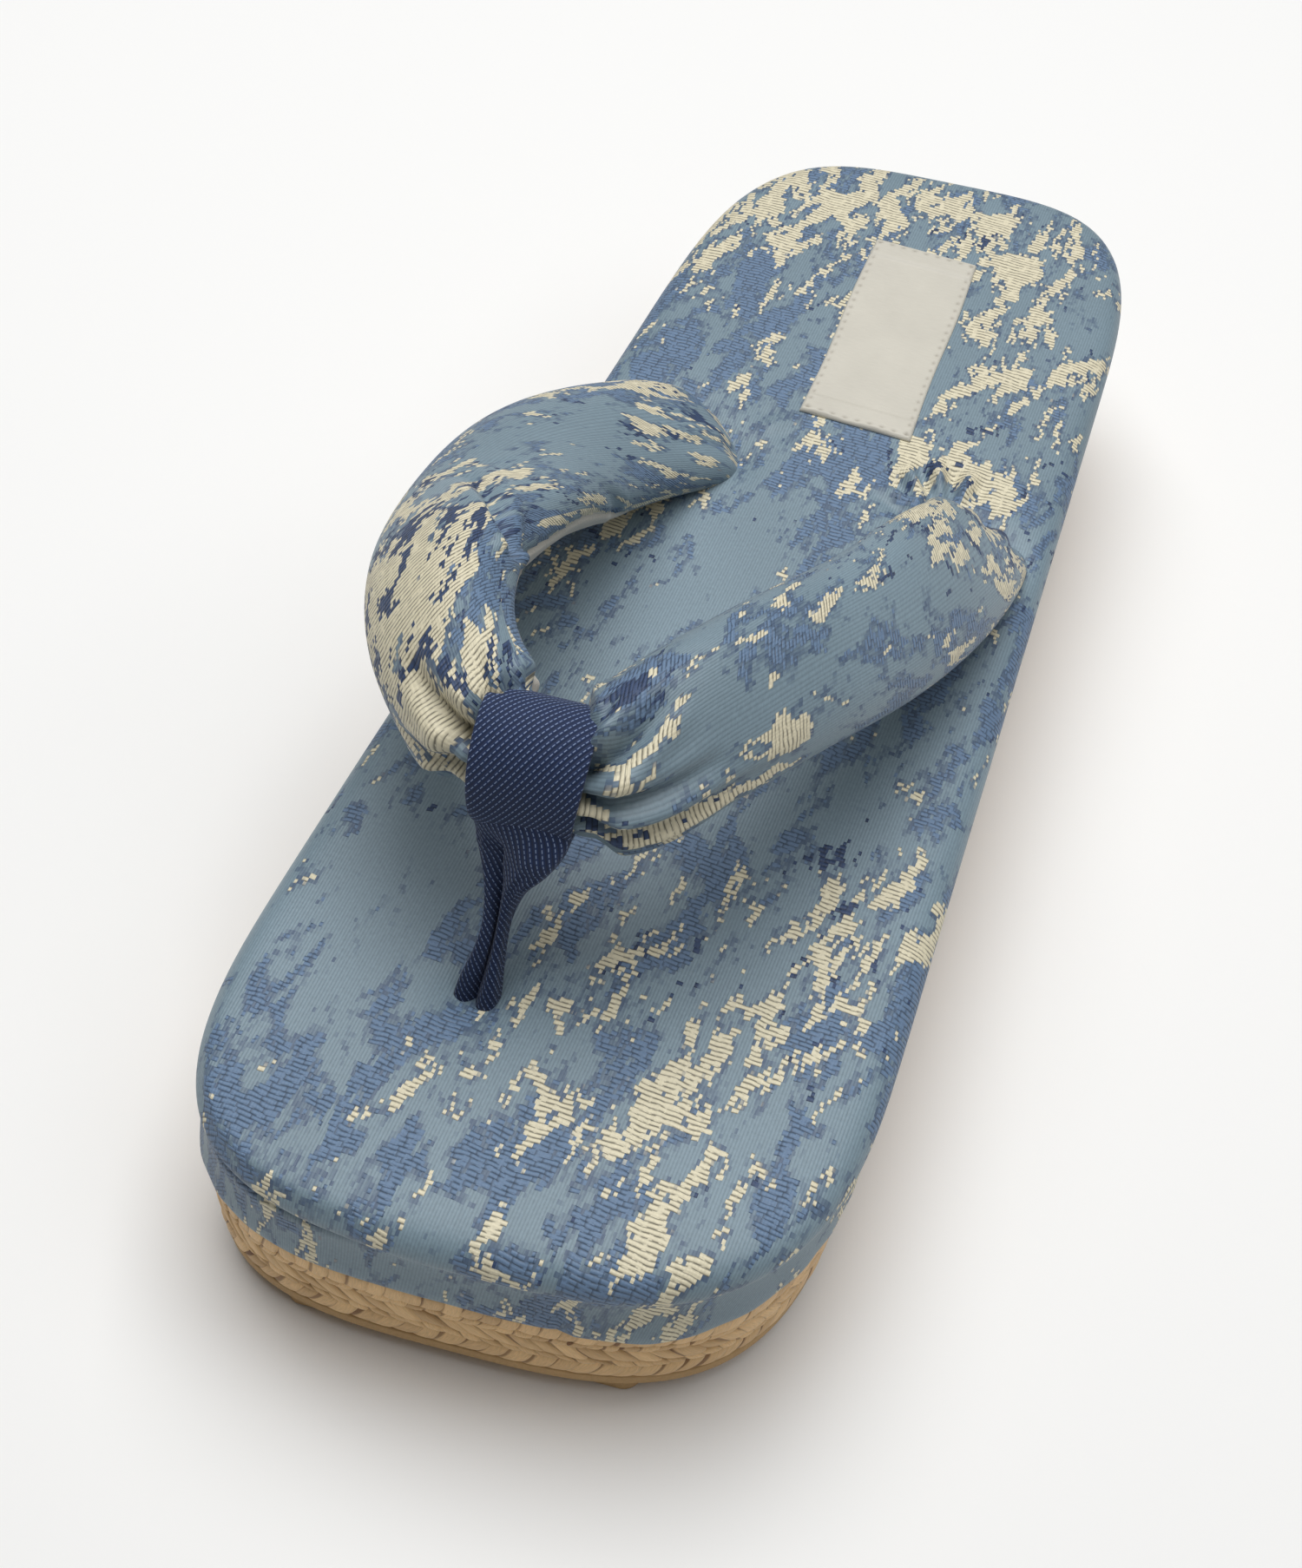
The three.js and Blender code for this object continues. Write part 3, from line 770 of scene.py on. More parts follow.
def lining_cloth(colours):
    """Plain cotton lining under the strap: matte, with a fine plain weave that shows as a grain of
    about half a millimetre."""
    material, tree, shader = new_material("cotton_lining", Roughness=0.85, Sheen_Weight=0.2)
    flat = add(tree, "UVMap", uv_map="cloth")
    weave = add(tree, "TexNoise", {"Vector": flat, "Scale": 2.0, "Detail": 3})
    tint = add(tree, "MapRange", {"Value": weave, "To Min": 0.8, "To Max": 1.15})
    tone = add(tree, "VectorMath", {0: colours.lining, "Scale": tint}, operation="SCALE")
    tree.links.new(tone, shader.inputs["Base Color"])
    bump = add(tree, "Bump", {"Height": weave, "Strength": 0.4, "Distance": 0.0002})
    tree.links.new(bump, shader.inputs["Normal"])
    return material


def twill(colours, sizes):
    """Navy cotton twill with pale flecks: steep diagonal ribs, and on each rib a row of short pale
    threads, so the eye sees dotted slanting lines on a dark matte cloth."""
    material, tree, shader = new_material(
        "navy_cotton_twill", Roughness=0.78, Sheen_Weight=0.08, Sheen_Roughness=0.5,
    )
    pitch = sizes.twill_pitch / MM
    flat = add(tree, "UVMap", uv_map="cloth")
    turned = add(
        tree, "Mapping", {"Vector": flat, "Rotation": (0, 0, math.radians(-54))},
    )
    over = add(tree, "SeparateXYZ", {0: turned})
    up = over.node.outputs[1]
    rib = ridges(tree, up, pitch)
    line = add(tree, "MapRange", {"Value": rib, "From Min": 0.94, "From Max": 1.0})
    row = add(tree, "Math", {0: up, 1: pitch}, operation="SNAP")
    shift = add(tree, "TexWhiteNoise", {"W": row}, noise_dimensions="1D")
    dash = add(tree, "Math", {0: shift, 1: 2.0, 2: over}, operation="MULTIPLY_ADD")
    dash = ridges(tree, dash, 0.75)
    dash = add(tree, "MapRange", {"Value": dash, "From Min": 0.35, "From Max": 0.75})
    fleck = add(tree, "Math", {0: line, 1: dash}, operation="MULTIPLY")
    grain = add(tree, "TexNoise", {"Vector": flat, "Scale": 1.1, "Detail": 3})
    tint = add(tree, "MapRange", {"Value": grain, "To Min": 0.7, "To Max": 1.3})
    ribbed = add(tree, "MapRange", {"Value": rib, "To Min": 0.6, "To Max": 1.1})
    tint = add(tree, "Math", {0: tint, 1: ribbed}, operation="MULTIPLY")
    base = add(tree, "VectorMath", {0: colours.twill, "Scale": tint}, operation="SCALE")
    cloth = add(
        tree, "Mix", {0: fleck, 6: base, 7: rgba(colours.fleck)}, out=2, data_type="RGBA",
    )
    tree.links.new(cloth, shader.inputs["Base Color"])
    bump = add(tree, "Bump", {"Height": rib, "Strength": 0.5, "Distance": 0.0002})
    tree.links.new(bump, shader.inputs["Normal"])
    return material


def straw(colours):
    """Plaited rice straw: flat satin strips with fine fibres along them, each a little lighter or
    browner than the next, and painted shade where they go under one another: the tone attribute
    mixes the straw towards its shaded copy."""
    material, tree, shader = new_material(
        "plaited_rice_straw", Roughness=0.55, Specular_IOR_Level=0.35, Sheen_Weight=0.1,
    )
    flat = add(tree, "UVMap", uv_map="cloth")
    stretched = add(tree, "Mapping", {"Vector": flat, "Scale": (3.2, 0.22, 1)})
    fibre = add(tree, "TexNoise", {"Vector": stretched, "Scale": 1.0, "Detail": 4})
    # The tone attribute holds each strip's own tone and painted shade, mixing the lit straw with the
    # shaded straw
    tone = add(tree, "Attribute", attribute_name="tone", out=2)
    streak = add(tree, "MapRange", {"Value": fibre, "To Min": 0.68, "To Max": 1.28})
    lit = add(tree, "VectorMath", {0: colours.straw, "Scale": streak}, operation="SCALE")
    strip = add(
        tree, "Mix", {0: tone, 6: rgba(colours.shaded_straw), 7: lit}, out=2, data_type="RGBA",
    )
    tree.links.new(strip, shader.inputs["Base Color"])
    bump = add(tree, "Bump", {"Height": fibre, "Strength": 0.5, "Distance": 0.0003})
    tree.links.new(bump, shader.inputs["Normal"])
    return material


def rubber(colours):
    """Moulded tan foam rubber: matte, with a fine pebble of about half a millimetre and faint
    clouding."""
    material, tree, shader = new_material(
        "moulded_sole_rubber", Roughness=0.72, Specular_IOR_Level=0.35,
    )
    place = add(tree, "TexCoord", out=3)
    cloud = add(tree, "TexNoise", {"Vector": place, "Scale": 60, "Detail": 4})
    grit = add(tree, "TexNoise", {"Vector": place, "Scale": 1800, "Detail": 2})
    tint = add(tree, "MapRange", {"Value": cloud, "To Min": 0.82, "To Max": 1.16})
    speck = add(tree, "MapRange", {"Value": grit, "To Min": 0.88, "To Max": 1.1})
    tint = add(tree, "Math", {0: tint, 1: speck}, operation="MULTIPLY")
    tone = add(tree, "VectorMath", {0: colours.rubber, "Scale": tint}, operation="SCALE")
    tree.links.new(tone, shader.inputs["Base Color"])
    bump = add(tree, "Bump", {"Height": grit, "Strength": 0.35, "Distance": 0.0003})
    tree.links.new(bump, shader.inputs["Normal"])
    return material


def label_satin(colours):
    """Woven polyester label satin: off-white, a low gloss, and fine weft lines across it."""
    material, tree, shader = new_material(
        "woven_label_satin", Roughness=0.5, Sheen_Weight=0.2, Specular_IOR_Level=0.4,
    )
    flat = add(tree, "UVMap", uv_map="cloth")
    long = add(tree, "Mapping", {"Vector": flat, "Scale": (0.5, 3.0, 1)})
    weft = add(tree, "TexNoise", {"Vector": long, "Scale": 1.0, "Detail": 3})
    cloud = add(tree, "TexNoise", {"Vector": flat, "Scale": 0.09, "Detail": 2})
    tint = add(tree, "MapRange", {"Value": weft, "To Min": 0.93, "To Max": 1.05})
    slow = add(tree, "MapRange", {"Value": cloud, "To Min": 0.9, "To Max": 1.08})
    tint = add(tree, "Math", {0: tint, 1: slow}, operation="MULTIPLY")
    tone = add(tree, "VectorMath", {0: colours.label, "Scale": tint}, operation="SCALE")
    stitch = add(tree, "Attribute", attribute_name="tone", out=2)
    tone = add(
        tree, "Mix", {0: stitch, 6: rgba(colours.stitch), 7: tone}, out=2, data_type="RGBA",
    )
    tree.links.new(tone, shader.inputs["Base Color"])
    bump = add(tree, "Bump", {"Height": weft, "Strength": 0.3, "Distance": 0.00015})
    tree.links.new(bump, shader.inputs["Normal"])
    return material


# Lamps and camera

def standing(place, right, back):
    """A matrix that stands a lamp or camera at place, its x axis to the right and its z axis back."""
    axes = np.eye(4)
    axes[:3, :3] = np.stack([right, np.cross(back, right), back], 1)
    axes[:3, 3] = place
    return Matrix(axes.tolist())


# Pieces

class SANDAL_OT_deck(bpy.types.Operator):
    """Make the padded deck in its brocade cover"""

    bl_idname = "sandal.deck"
    bl_label = "Deck"

    def execute(self, context):
        """Rings round the outline: scaled copies of it on the top, then the edge's profile down the
        side, then the underside. The cloth's flat coordinates are x and y on the top, and carry on
        outward by the length of the profile, so the pattern wraps over the ridge."""
        sizes, colours = context.scene.sandal_sizes, context.scene.sandal_colours
        points, inward, run = outline(GRID["deck_round"])
        rings = []
        for inset, drop, share in DECK_EDGE:
            at = points + inset * inward
            height = deck_top(at[:, 1]) - drop - share * deck_thick(at[:, 1])
            rings.append(np.column_stack([at, height]))
        t = np.linspace(0, len(rings) - 1, GRID["deck_edge"])
        edge = curve_through(np.array(rings), t, 0.0)
        reach = lengths(edge)
        edge_cloth = edge[0, :, :2] - inward * reach[..., None]
        # The toe's fold, where the cloth laps over itself, and small gathers at the toe's corners
        lap = run - TOE_FOLD["run"]
        lap_side = smooth(*TOE_FOLD["lip"], lap) * (1 - smooth(*TOE_FOLD["fades"], lap))
        lap_dent = bell(lap + TOE_FOLD["dent_before"], TOE_FOLD["dent_width"])
        stand = TOE_FOLD["height"] * lap_side - TOE_FOLD["dent"] * lap_dent
        to_start = run[-1] - run
        corner = bell(run - TOE_GATHERS["run"], TOE_GATHERS["spread"])
        corner = corner + bell(to_start - TOE_GATHERS["run"], TOE_GATHERS["spread"])
        gather = np.sin(run * 2 * np.pi / TOE_GATHERS["pitch"] + np.sin(run / 5))
        gather = TOE_GATHERS["height"] * corner * gather
        # What follows fades out before the outline closes
        last = smooth(0, OUTLINE_FADE, to_start)
        wander = WANDER["height"] * np.sin(run / WANDER["short"])
        wander = wander * np.sin(run / WANDER["long"] + 1) * last
        out = smooth(*EDGE_ZONES["side"], reach) * (stand + gather + wander)
        foot = bell(lap - TOE_FOLD["foot_run"], TOE_FOLD["foot_spread"])
        out += TOE_FOLD["foot_height"] * smooth(*EDGE_ZONES["foot"], reach) * foot
        # At the toe's inner corner the padding is set back above a deep crease
        roll = bell(to_start - TOE_CREASE["run"], TOE_CREASE["spread"]) * last
        back = TOE_CREASE["set_back"] * smooth(*EDGE_ZONES["set_back"], reach)
        back = back * (1 - smooth(*EDGE_ZONES["set_back_ends"], reach))
        dent = TOE_CREASE["depth"] * bell(reach - TOE_CREASE["below"], TOE_CREASE["width"])
        out -= roll * (back + dent)
        edge[..., :2] -= inward * out[..., None]
        edge[:, -1] = edge[:, 0]
        share = np.linspace(0, 1, GRID["deck_top"])[:, None] ** 0.9
        top = np.zeros((len(share), len(run), 3))
        top[..., :2] = share[..., None] * edge[0, :, :2]
        top[..., 2] = deck_top(top[..., 1])
        edge_fade = 1 - smooth(*EDGE_ZONES["relief_ends"], reach[:RELIEF_ROWS])
        for part, fade in ((top, 1.0), (edge[:RELIEF_ROWS], edge_fade)):
            part[..., 2] += fade * deck_relief(part[..., 0], part[..., 1], sizes.crown / MM)
        under = closing(edge[-1], 6, 0.0)
        under[1:, :, 2] = deck_underside(under[1:, :, 1])
        tones = []
        for cloth in (top[..., :2], edge_cloth):
            tone = np.full(cloth.shape[:2], DECK_CREAM_SHARE)
            for x, y, spread, more in DECK_CREAM:
                tone += more * bell(np.hypot(cloth[..., 0] - x, cloth[..., 1] - y), spread)
            tones.append(tone)
        patches = [
            (top, top[..., :2], 0, tones[0]),
            (edge, edge_cloth, 0, tones[1]),
            (under, under[..., :2], 0, 0.2),
        ]
        cloths = [brocade(colours, sizes)]
        piece = make_piece("deck_cover", patches, cloths, ["deck"], tone=True)
        return {"FINISHED"}


class SANDAL_OT_strap(bpy.types.Operator):
    """Make the padded strap, gathered at its neck and ends"""

    bl_idname = "sandal.strap"
    bl_label = "Strap"

    def creases(self, t, degrees, run, arc):
        """How far the creases push the strap in at each point of its unrolled surface, whose
        coordinates are the length along the path and the length round the section. Each crease is
        a bell of the distance from its curve, with a lower bulge on each side, and fades out
        along it."""
        inset = np.zeros(arc.shape)
        share = np.linspace(0, 1, GRID["crease"])
        weights = np.stack([(1 - share) ** 2, 2 * share * (1 - share), share ** 2])
        for *places, width, depth in STRAP_CREASES:
            rows, angles = np.array(places[0::2]), np.array(places[1::2])
            row, turn = rows @ weights, angles @ weights
            along = np.interp(row, t, run)
            nearest = np.full(arc.shape, np.inf)
            strength = np.zeros(arc.shape)
            for k in range(len(share)):
                at = np.argmin(np.abs(t - row[k]))
                around = np.interp(turn[k] % 360, degrees, arc[at])
                apart = arc - around * arc[:, -1:] / arc[at, -1]
                apart -= np.round(apart / arc[:, -1:]) * arc[:, -1:]
                away = np.hypot(run[:, None] - along[k], apart)
                closer = away < nearest
                nearest = np.where(closer, away, nearest)
                here = (1 - share[k] ** 2) * smooth(0, CREASE_START, share[k])
                strength = np.where(closer, here, strength)
            inset += depth * strength * bell(nearest, width)
            bulge = bell(nearest - CREASE_BULGE["aside"] * width, CREASE_BULGE["width"] * width)
            inset -= CREASE_BULGE["share"] * depth * strength * bulge
        return inset

    def execute(self, context):
        """A superellipse carried along the strap's path, pushed in by its creases along its own
        spokes. Cloth coordinates are the length round the section and along the path."""
        sizes, colours = context.scene.sandal_sizes, context.scene.sandal_colours
        t = np.linspace(0, len(STRAP) - 1, GRID["strap_long"])
        centre, broad, facing, size, run = swept_frame(STRAP, t)
        angle = np.linspace(0, 2 * np.pi, GRID["strap_round"])
        u, v = oval(angle, STRAP_POWER)
        degrees = np.degrees(angle)
        side = np.stack([u * size[:, :1] / 2, v * size[:, 1:2] / 2], -1)
        spoke = unit(side)
        inset = self.creases(t, degrees, run, lengths(side, 1))
        # The neck is drawn in under the band
        inset += NECK_DRAWN_IN * smooth(*NECK_REACH, np.abs(t - NECK_ROW))[:, None]
        # A shallow groove where the cover is sewn to the lining, and slow lumps of the padding
        seam_inner = SEAM_INNER
        for turn, row, rows in SEAM_BENDS:
            seam_inner = seam_inner + turn * bell(t - row, rows)
        seam = bell(degrees_apart(degrees, -seam_inner[:, None]), SEAM_WIDTH)
        seam = seam + bell(degrees_apart(degrees, SEAM_OUTER), SEAM_WIDTH)
        inset += SEAM_DEPTH * seam
        lumps = np.sin(run[:, None] / LUMPS["short"] + 2 * np.cos(angle))
        lumps = lumps * np.sin(run[:, None] / LUMPS["long"] + angle)
        inset -= LUMPS["height"] * lumps
        plain = carried(centre, broad, facing, side)
        points = carried(centre, broad, facing, side - inset[..., None] * spoke)
        girth = np.linalg.norm(np.diff(points, axis=1), axis=2).sum(1)
        around = (angle / (2 * np.pi) - 0.25) * girth[:, None]
        # Lengthwise the cloth follows each line along the strap, counted from the neck
        step = lengths(plain)
        neck = np.argmin(np.abs(t - NECK_ROW))
        along = run[neck] + step - step[neck]
        cloth = np.stack([STRAP_CLOTH["closer"] * around, along + STRAP_CLOTH["start"]], -1)
        shade = np.full(around.shape, STRAP_CREAM_SHARE)
        for row, at, rows, spread, more in STRAP_CREAM:
            shade += more * bell(t - row, rows)[:, None] * bell(degrees_apart(degrees, at), spread)
        # The lining starts at the seam, and shows more on the inside of the inner arm's bend
        middle = np.degrees(0.5 * (angle[1:] + angle[:-1]))
        inner = 360 - seam_inner[:-1, None]
        below = ((middle > SEAM_OUTER) & (middle < inner)).astype(int)
        patches = [(points, cloth, below, shade)]
        patches += [(closing(points[k], 4), None, 0, 0.3) for k in (0, -1)]
        cloths = [brocade(colours, sizes), lining_cloth(colours)]
        piece = make_piece("strap_upper", patches, cloths, ["strap"], tone=True)
        return {"FINISHED"}


class SANDAL_OT_toe_loop(bpy.types.Operator):
    """Make the twill band round the strap's neck and its folded post"""

    bl_idname = "sandal.toe_loop"
    bl_label = "Toe loop"

    def execute(self, context):
        """The band is a flat rounded section carried round a tilted oval, narrower at its foot. The
        post is a superellipse down its path, with a slit let into its front between two plies."""
        sizes, colours = context.scene.sandal_sizes, context.scene.sandal_colours
        turn = np.linspace(0, 2 * np.pi, GRID["band_round"])[:, None]
        low = 0.5 - 0.5 * np.sin(turn)
        half = BAND_HALF_WIDTH_TOP + (BAND_HALF_WIDTH_FOOT - BAND_HALF_WIDTH_TOP) * low ** 2
        section = np.linspace(0, 2 * np.pi, GRID["band_section"])[None]
        wide, thick = oval(section, BAND_POWER)
        sag = BAND_SAG * np.sin(3 * turn + 0.6) * np.cos(wide * 2.2) - BAND_BOW * wide ** 2
        fold = BAND_FOLD * bell(np.sin(turn / 2 + np.pi / 4) * 2 * 60, 14) * bell(wide, 0.35)
        out = BAND_THICK / 2 + thick * BAND_THICK / 2 + sag * (0.5 + 0.5 * thick) - fold
        x = wide * half
        y = np.cos(turn) * (LOOP["half_depth"] + out)
        z = np.sin(turn) * (LOOP["half_height"] + out)
        centre = np.array([LOOP["x"], LOOP["y"], deck_top(LOOP["y"]) + LOOP["rise"]])
        spin = Matrix.Rotation(math.radians(BAND_YAW), 3, "Z")
        spin = np.array(spin @ Matrix.Rotation(math.radians(BAND_TILT), 3, "X"))
        band = np.stack([np.broadcast_to(x, y.shape), y, z], -1) @ spin.T + centre
        mean = LOOP["half_depth"] / 2 + LOOP["half_height"] / 2 + BAND_THICK
        flat = np.stack([np.broadcast_to(x, y.shape), -turn * mean + 0 * x], -1)
        patches = [(band, flat, 0, 1.0)]
        t = np.linspace(0, len(POST) - 1, GRID["post_long"])
        place, broad, facing, size, run = swept_frame(POST, t)
        angle = np.linspace(0, 2 * np.pi, GRID["post_round"])
        u, v = oval(angle, POST_POWER)
        side = np.stack([u * size[:, :1] / 2, v * size[:, 1:2] / 2], -1)
        # The front of the post faces the toe, which is the facing side of its section
        slit_at = np.radians(90) + POST_SLIT["sway"] * np.sin(run / 6 + 0.5)[:, None]
        aside = angle - slit_at
        slit = bell(aside, POST_SLIT["width"]) * smooth(1.5, 2.6, t)[:, None]
        ply = sum(high * bell(aside - away, PLY_WIDTH) for high, away in POST_PLIES)
        spoke = unit(side)
        deep = POST_SLIT["depth"] * size[:, 1:2] * slit - ply
        # Gathers run down into a pinch in the middle of the band's foot
        gathers = POST_GATHERS["height"] * np.sin(angle * POST_GATHERS["count"])
        gathers = gathers * bell(t - POST_GATHERS["row"], POST_GATHERS["rows"])[:, None]
        pinch = POST_PINCH["depth"] * bell(aside, POST_PINCH["width"])
        pinch = pinch * bell(t - POST_PINCH["row"], POST_PINCH["rows"])[:, None]
        deep = deep + (gathers + pinch) * smooth(0.2, 0.7, np.sin(angle))
        post = carried(place, broad, facing, side - spoke * deep[..., None])
        post[:, -1] = post[:, 0]
        arc = lengths(post, 1)
        around = arc - 0.25 * arc[:, -1:]
        down = np.broadcast_to(run[:, None], post.shape[:2])
        patches.append((post, np.stack([around, -down], -1), 0, 1.0))
        patches += [(closing(post[k], 3), None, 0, 1.0) for k in (0, -1)]
        make_piece("toe_loop_twill", patches, [twill(colours, sizes)], ["toe_loop"])
        return {"FINISHED"}


class SANDAL_OT_straw_base(bpy.types.Operator):
    """Make the base, wrapped in three rows of plaited straw strips"""

    bl_idname = "sandal.straw_base"
    bl_label = "Straw base"

    def execute(self, context):
        """A core wall behind, and strips on it. Each strip is a small grid: a across it and b along
        it, from -1 to 1. It leans one way in one row and the other way in the next, bulges in the
        middle of its length, dips under at its ends, and lies with one edge over its neighbour."""
        sizes, colours = context.scene.sandal_sizes, context.scene.sandal_colours
        points, inward, run = outline(GRID["straw_round"])
        total = run[-1]

        def wall(s, part, out):
            """Points on the base's side at run s and height part from 0 to 1, moved out."""
            at = np.mod(s, total)
            x, y, nx, ny = (np.interp(at, run, c) for c in (*points.T, *inward.T))
            inset = BASE_INSET_BOTTOM + (BASE_INSET_TOP - BASE_INSET_BOTTOM) * part - out
            x, y = x + nx * inset, y + ny * inset
            height = BASE_BOTTOM + (deck_underside(y) - GAP - BASE_BOTTOM) * part
            return np.stack([x, y, height], -1)

        rng = np.random.default_rng(7)
        bulge = sizes.strip_bulge / MM
        a = STRIP_ACROSS[None, None, :]
        b = np.linspace(-1, 1, GRID["strip_long"])[None, :, None]
        patches = []
        for middle, half, lean, share, sunk in STRAW_ROWS:
            n = int(round(total / (share * sizes.strip_pitch / MM)))
            jitter = rng.normal(0, 1, (5, n, 1, 1))
            s = (np.arange(n)[:, None, None] + 0.07 * jitter[0]) * total / n
            wide = total / n * (0.74 + 0.05 * jitter[1]) * (1 - 0.15 * b ** 4)
            s = s + a * wide + b * (lean + 0.3 * jitter[2]) - 0.5 * b ** 2
            part = middle + b * half * (1 + 0.10 * jitter[3]) + 0.012 * jitter[4] * a
            out = bulge * (1 - np.abs(b) ** 2.5) + 0.26 * a + 0.34 * (1 - a ** 2) - 0.34
            out = out - 0.5 * np.abs(b) ** 6 - 0.3 * smooth(0.88, 1, a) + 0.06 * jitter[4] - sunk
            strip = wall(s, np.clip(part, 0.0, 1.0), out)
            long = 8.0 * b + 0 * a + 40 * jitter[0]
            broad = 3.0 * a + 0 * b + 60 * jitter[1]
            # Painted shade: darker at its ends and along both edges, most where the next strip covers
            # it, on a tone that differs at random from strip to strip
            tone = np.clip(0.86 + 0.10 * jitter[3], 0.5, 1.0) - 0.45 * np.abs(b) ** 6
            tone = tone - 0.70 * smooth(-0.25, -0.42, a) - 0.12 * smooth(0.6, 1, a)
            patches.append((strip, np.stack([broad, long], -1), 0, np.clip(tone, 0, 1)))
        # The core wall behind the strips and its two caps take mostly the shaded straw colour: painted
        # shade
        part = np.linspace(0, 1, GRID["core_high"])[:, None]
        s = np.linspace(0, total, GRID["core_round"])[None]
        core = wall(s, part, 0 * part - STRAW_CORE_INSET)
        core[:, -1] = core[:, 0]
        patches.append((core, None, 0, 0.3))
        low_cap, high_cap = closing(core[0], 5)[::-1], closing(core[-1], 5)
        low_cap[..., 2] = BASE_BOTTOM
        high_cap[..., 2] = deck_underside(high_cap[..., 1]) - GAP
        patches += [(cap, None, 0, 0.12) for cap in (low_cap, high_cap)]
        make_piece(
            "straw_plait", patches, [straw(colours)], ["straw_base"],
            closed=False, tone=True,
        )
        return {"FINISHED"}


class SANDAL_OT_sole(bpy.types.Operator):
    """Make the sole sheet and its two treads"""

    bl_idname = "sandal.sole"
    bl_label = "Sole"

    def execute(self, context):
        """Slabs with softly rounded edges: rings of the slab's outline, moved in and up by the
        profile of a rounded edge, closed with scaled rings above and below."""
        colours = context.scene.sandal_colours
        finish = rubber(colours)
        sheet = outline(GRID["sheet_round"])
        lines = {"outsole": (sheet, SHEET_INSET, SHEET_BOTTOM, BASE_BOTTOM)}
        for name, (half, front, back) in TREADS.items():
            x0, y0 = half - TREAD_CORNER, TREAD_CORNER
            turn = np.linspace(0, np.pi / 2, GRID["tread_corner"])
            corner = np.stack([x0 + TREAD_CORNER * np.sin(turn), front + y0 - y0 * np.cos(turn)], 1)
            right = np.vstack([corner, np.stack([corner[::-1, 0], back + front - corner[::-1, 1]], 1)])
            loop = np.vstack([right, right[::-1] * [-1, 1], right[:1]])
            loop[:, 1] += END_LEAN * loop[:, 0]
            reach = lengths(loop)
            even = np.linspace(0, reach[-1], GRID["tread_round"])
            fine = np.unique(np.concatenate([reach, even]))
            loop = np.stack([np.interp(fine, reach, loop[:, k]) for k in (0, 1)], 1)
            slope = np.gradient(loop, fine, axis=0)
            inward = np.stack([-slope[:, 1], slope[:, 0]], 1)
            inward[-1] = inward[0] = TREAD_FRONT_INWARD
            lines[name] = ((loop, unit(inward), fine), 0.0, 0.0, TREAD_THICK)
        turn = np.linspace(0, np.pi / 2, GRID["sole_edge"])
        falling = SOLE_EDGE_ROUND * (1 - np.sin(turn))
        rising = SOLE_EDGE_ROUND * (1 - np.cos(turn))
        for name, ((points, inward, _), inset, bottom, top) in lines.items():
            ins = np.r_[falling, rising]
            ups = np.r_[bottom + rising, top - falling]
            side = points + (inset + ins)[:, None, None] * inward
            height = np.broadcast_to(ups[:, None, None], side.shape[:2] + (1,))
            wall = np.concatenate([side, height], 2)
            wall[:, -1] = wall[:, 0]
            patches = [(wall, None, 0, 1.0)]
            for k in (0, -1):
                patches.append((closing(wall[k], 4, wall[k, :-1].mean(0)), None, 0, 1.0))
            make_piece(name + "_rubber", patches, [finish], [name])
        return {"FINISHED"}


class SANDAL_OT_label(bpy.types.Operator):
    """Make the bare satin label sewn on the heel"""

    bl_idname = "sandal.label"
    bl_label = "Label"

    def execute(self, context):
        """A thin slab laid on the deck's cloth: its height is the deck's, plus one ply of satin, or
        two where an end is turned under, less a dimple at each stitch along its edge."""
        sizes, colours = context.scene.sandal_sizes, context.scene.sandal_colours
        half = np.array([LABEL["width"], LABEL["length"]]) / 2
        a = np.linspace(-1, 1, GRID["label_wide"])[None, :] * half[0]
        b = np.linspace(-1, 1, GRID["label_long"])[:, None] * half[1]
        hem = sizes.hem / MM
        to_end = half[1] - np.abs(b) + 0 * a
        to_side = half[0] - np.abs(a) + 0 * b
        thick = LABEL_PLY + LABEL_HEM_PLY * (1 - smooth(hem - 0.5, hem + 0.3, to_end))
        # Slow waves of the cloth, and small gathers at the end nearer the toe
        thick = thick + 0.07 * np.sin(a / 4.1 + b / 13) * np.sin(b / 7.7)
        thick = thick + 0.22 * bell(b + half[1], 3.5) * np.sin(a / 3.3 + 0.5) ** 2
        stitch, pitch = 0, STITCH["pitch"]
        for inside, along in ((to_side - STITCH["from_side"], b), (to_end - STITCH["from_end"], a)):
            each = bell((along + 1.0) % pitch - pitch / 2, STITCH["half_length"])
            stitch = stitch + bell(inside, STITCH["width"]) * each
        thick = thick - STITCH["dent"] * stitch
        edge = smooth(-0.01, 0.45, np.minimum(to_side, to_end))
        turn = math.radians(LABEL["turn"])
        waver = 0.18 * np.sin(b / 6.5) * np.sign(a) * smooth(0.8, 1.0, np.abs(a) / half[0])
        x = LABEL["x"] + (a + waver) * math.cos(turn) - b * math.sin(turn)
        y = LABEL["y"] + (a + waver) * math.sin(turn) + b * math.cos(turn)
        lie = deck_top(y) + deck_relief(x, y, sizes.crown / MM)
        top = np.stack([x, y, lie + LABEL_TOP_CLEAR + (0.25 + 0.75 * edge) * thick], -1)
        under = np.stack([x, y, lie + LABEL_UNDER_CLEAR], -1)
        flat = np.stack([a + 0 * b, b + 0 * a], -1)
        rims = []
        for cut in (np.s_[:, 0], np.s_[:, -1], np.s_[0], np.s_[-1]):
            rims.append((np.stack([top[cut], under[cut]]), np.stack([flat[cut], flat[cut]]), 0, 1.0))
        tone = np.clip(1 - 0.8 * stitch, 0, 1)
        patches = [(top, flat, 0, tone), (under, flat, 0, 1.0), *rims]
        piece = make_piece(
            "label_satin", patches, [label_satin(colours)], ["heel_label"], tone=True,
        )
        return {"FINISHED"}


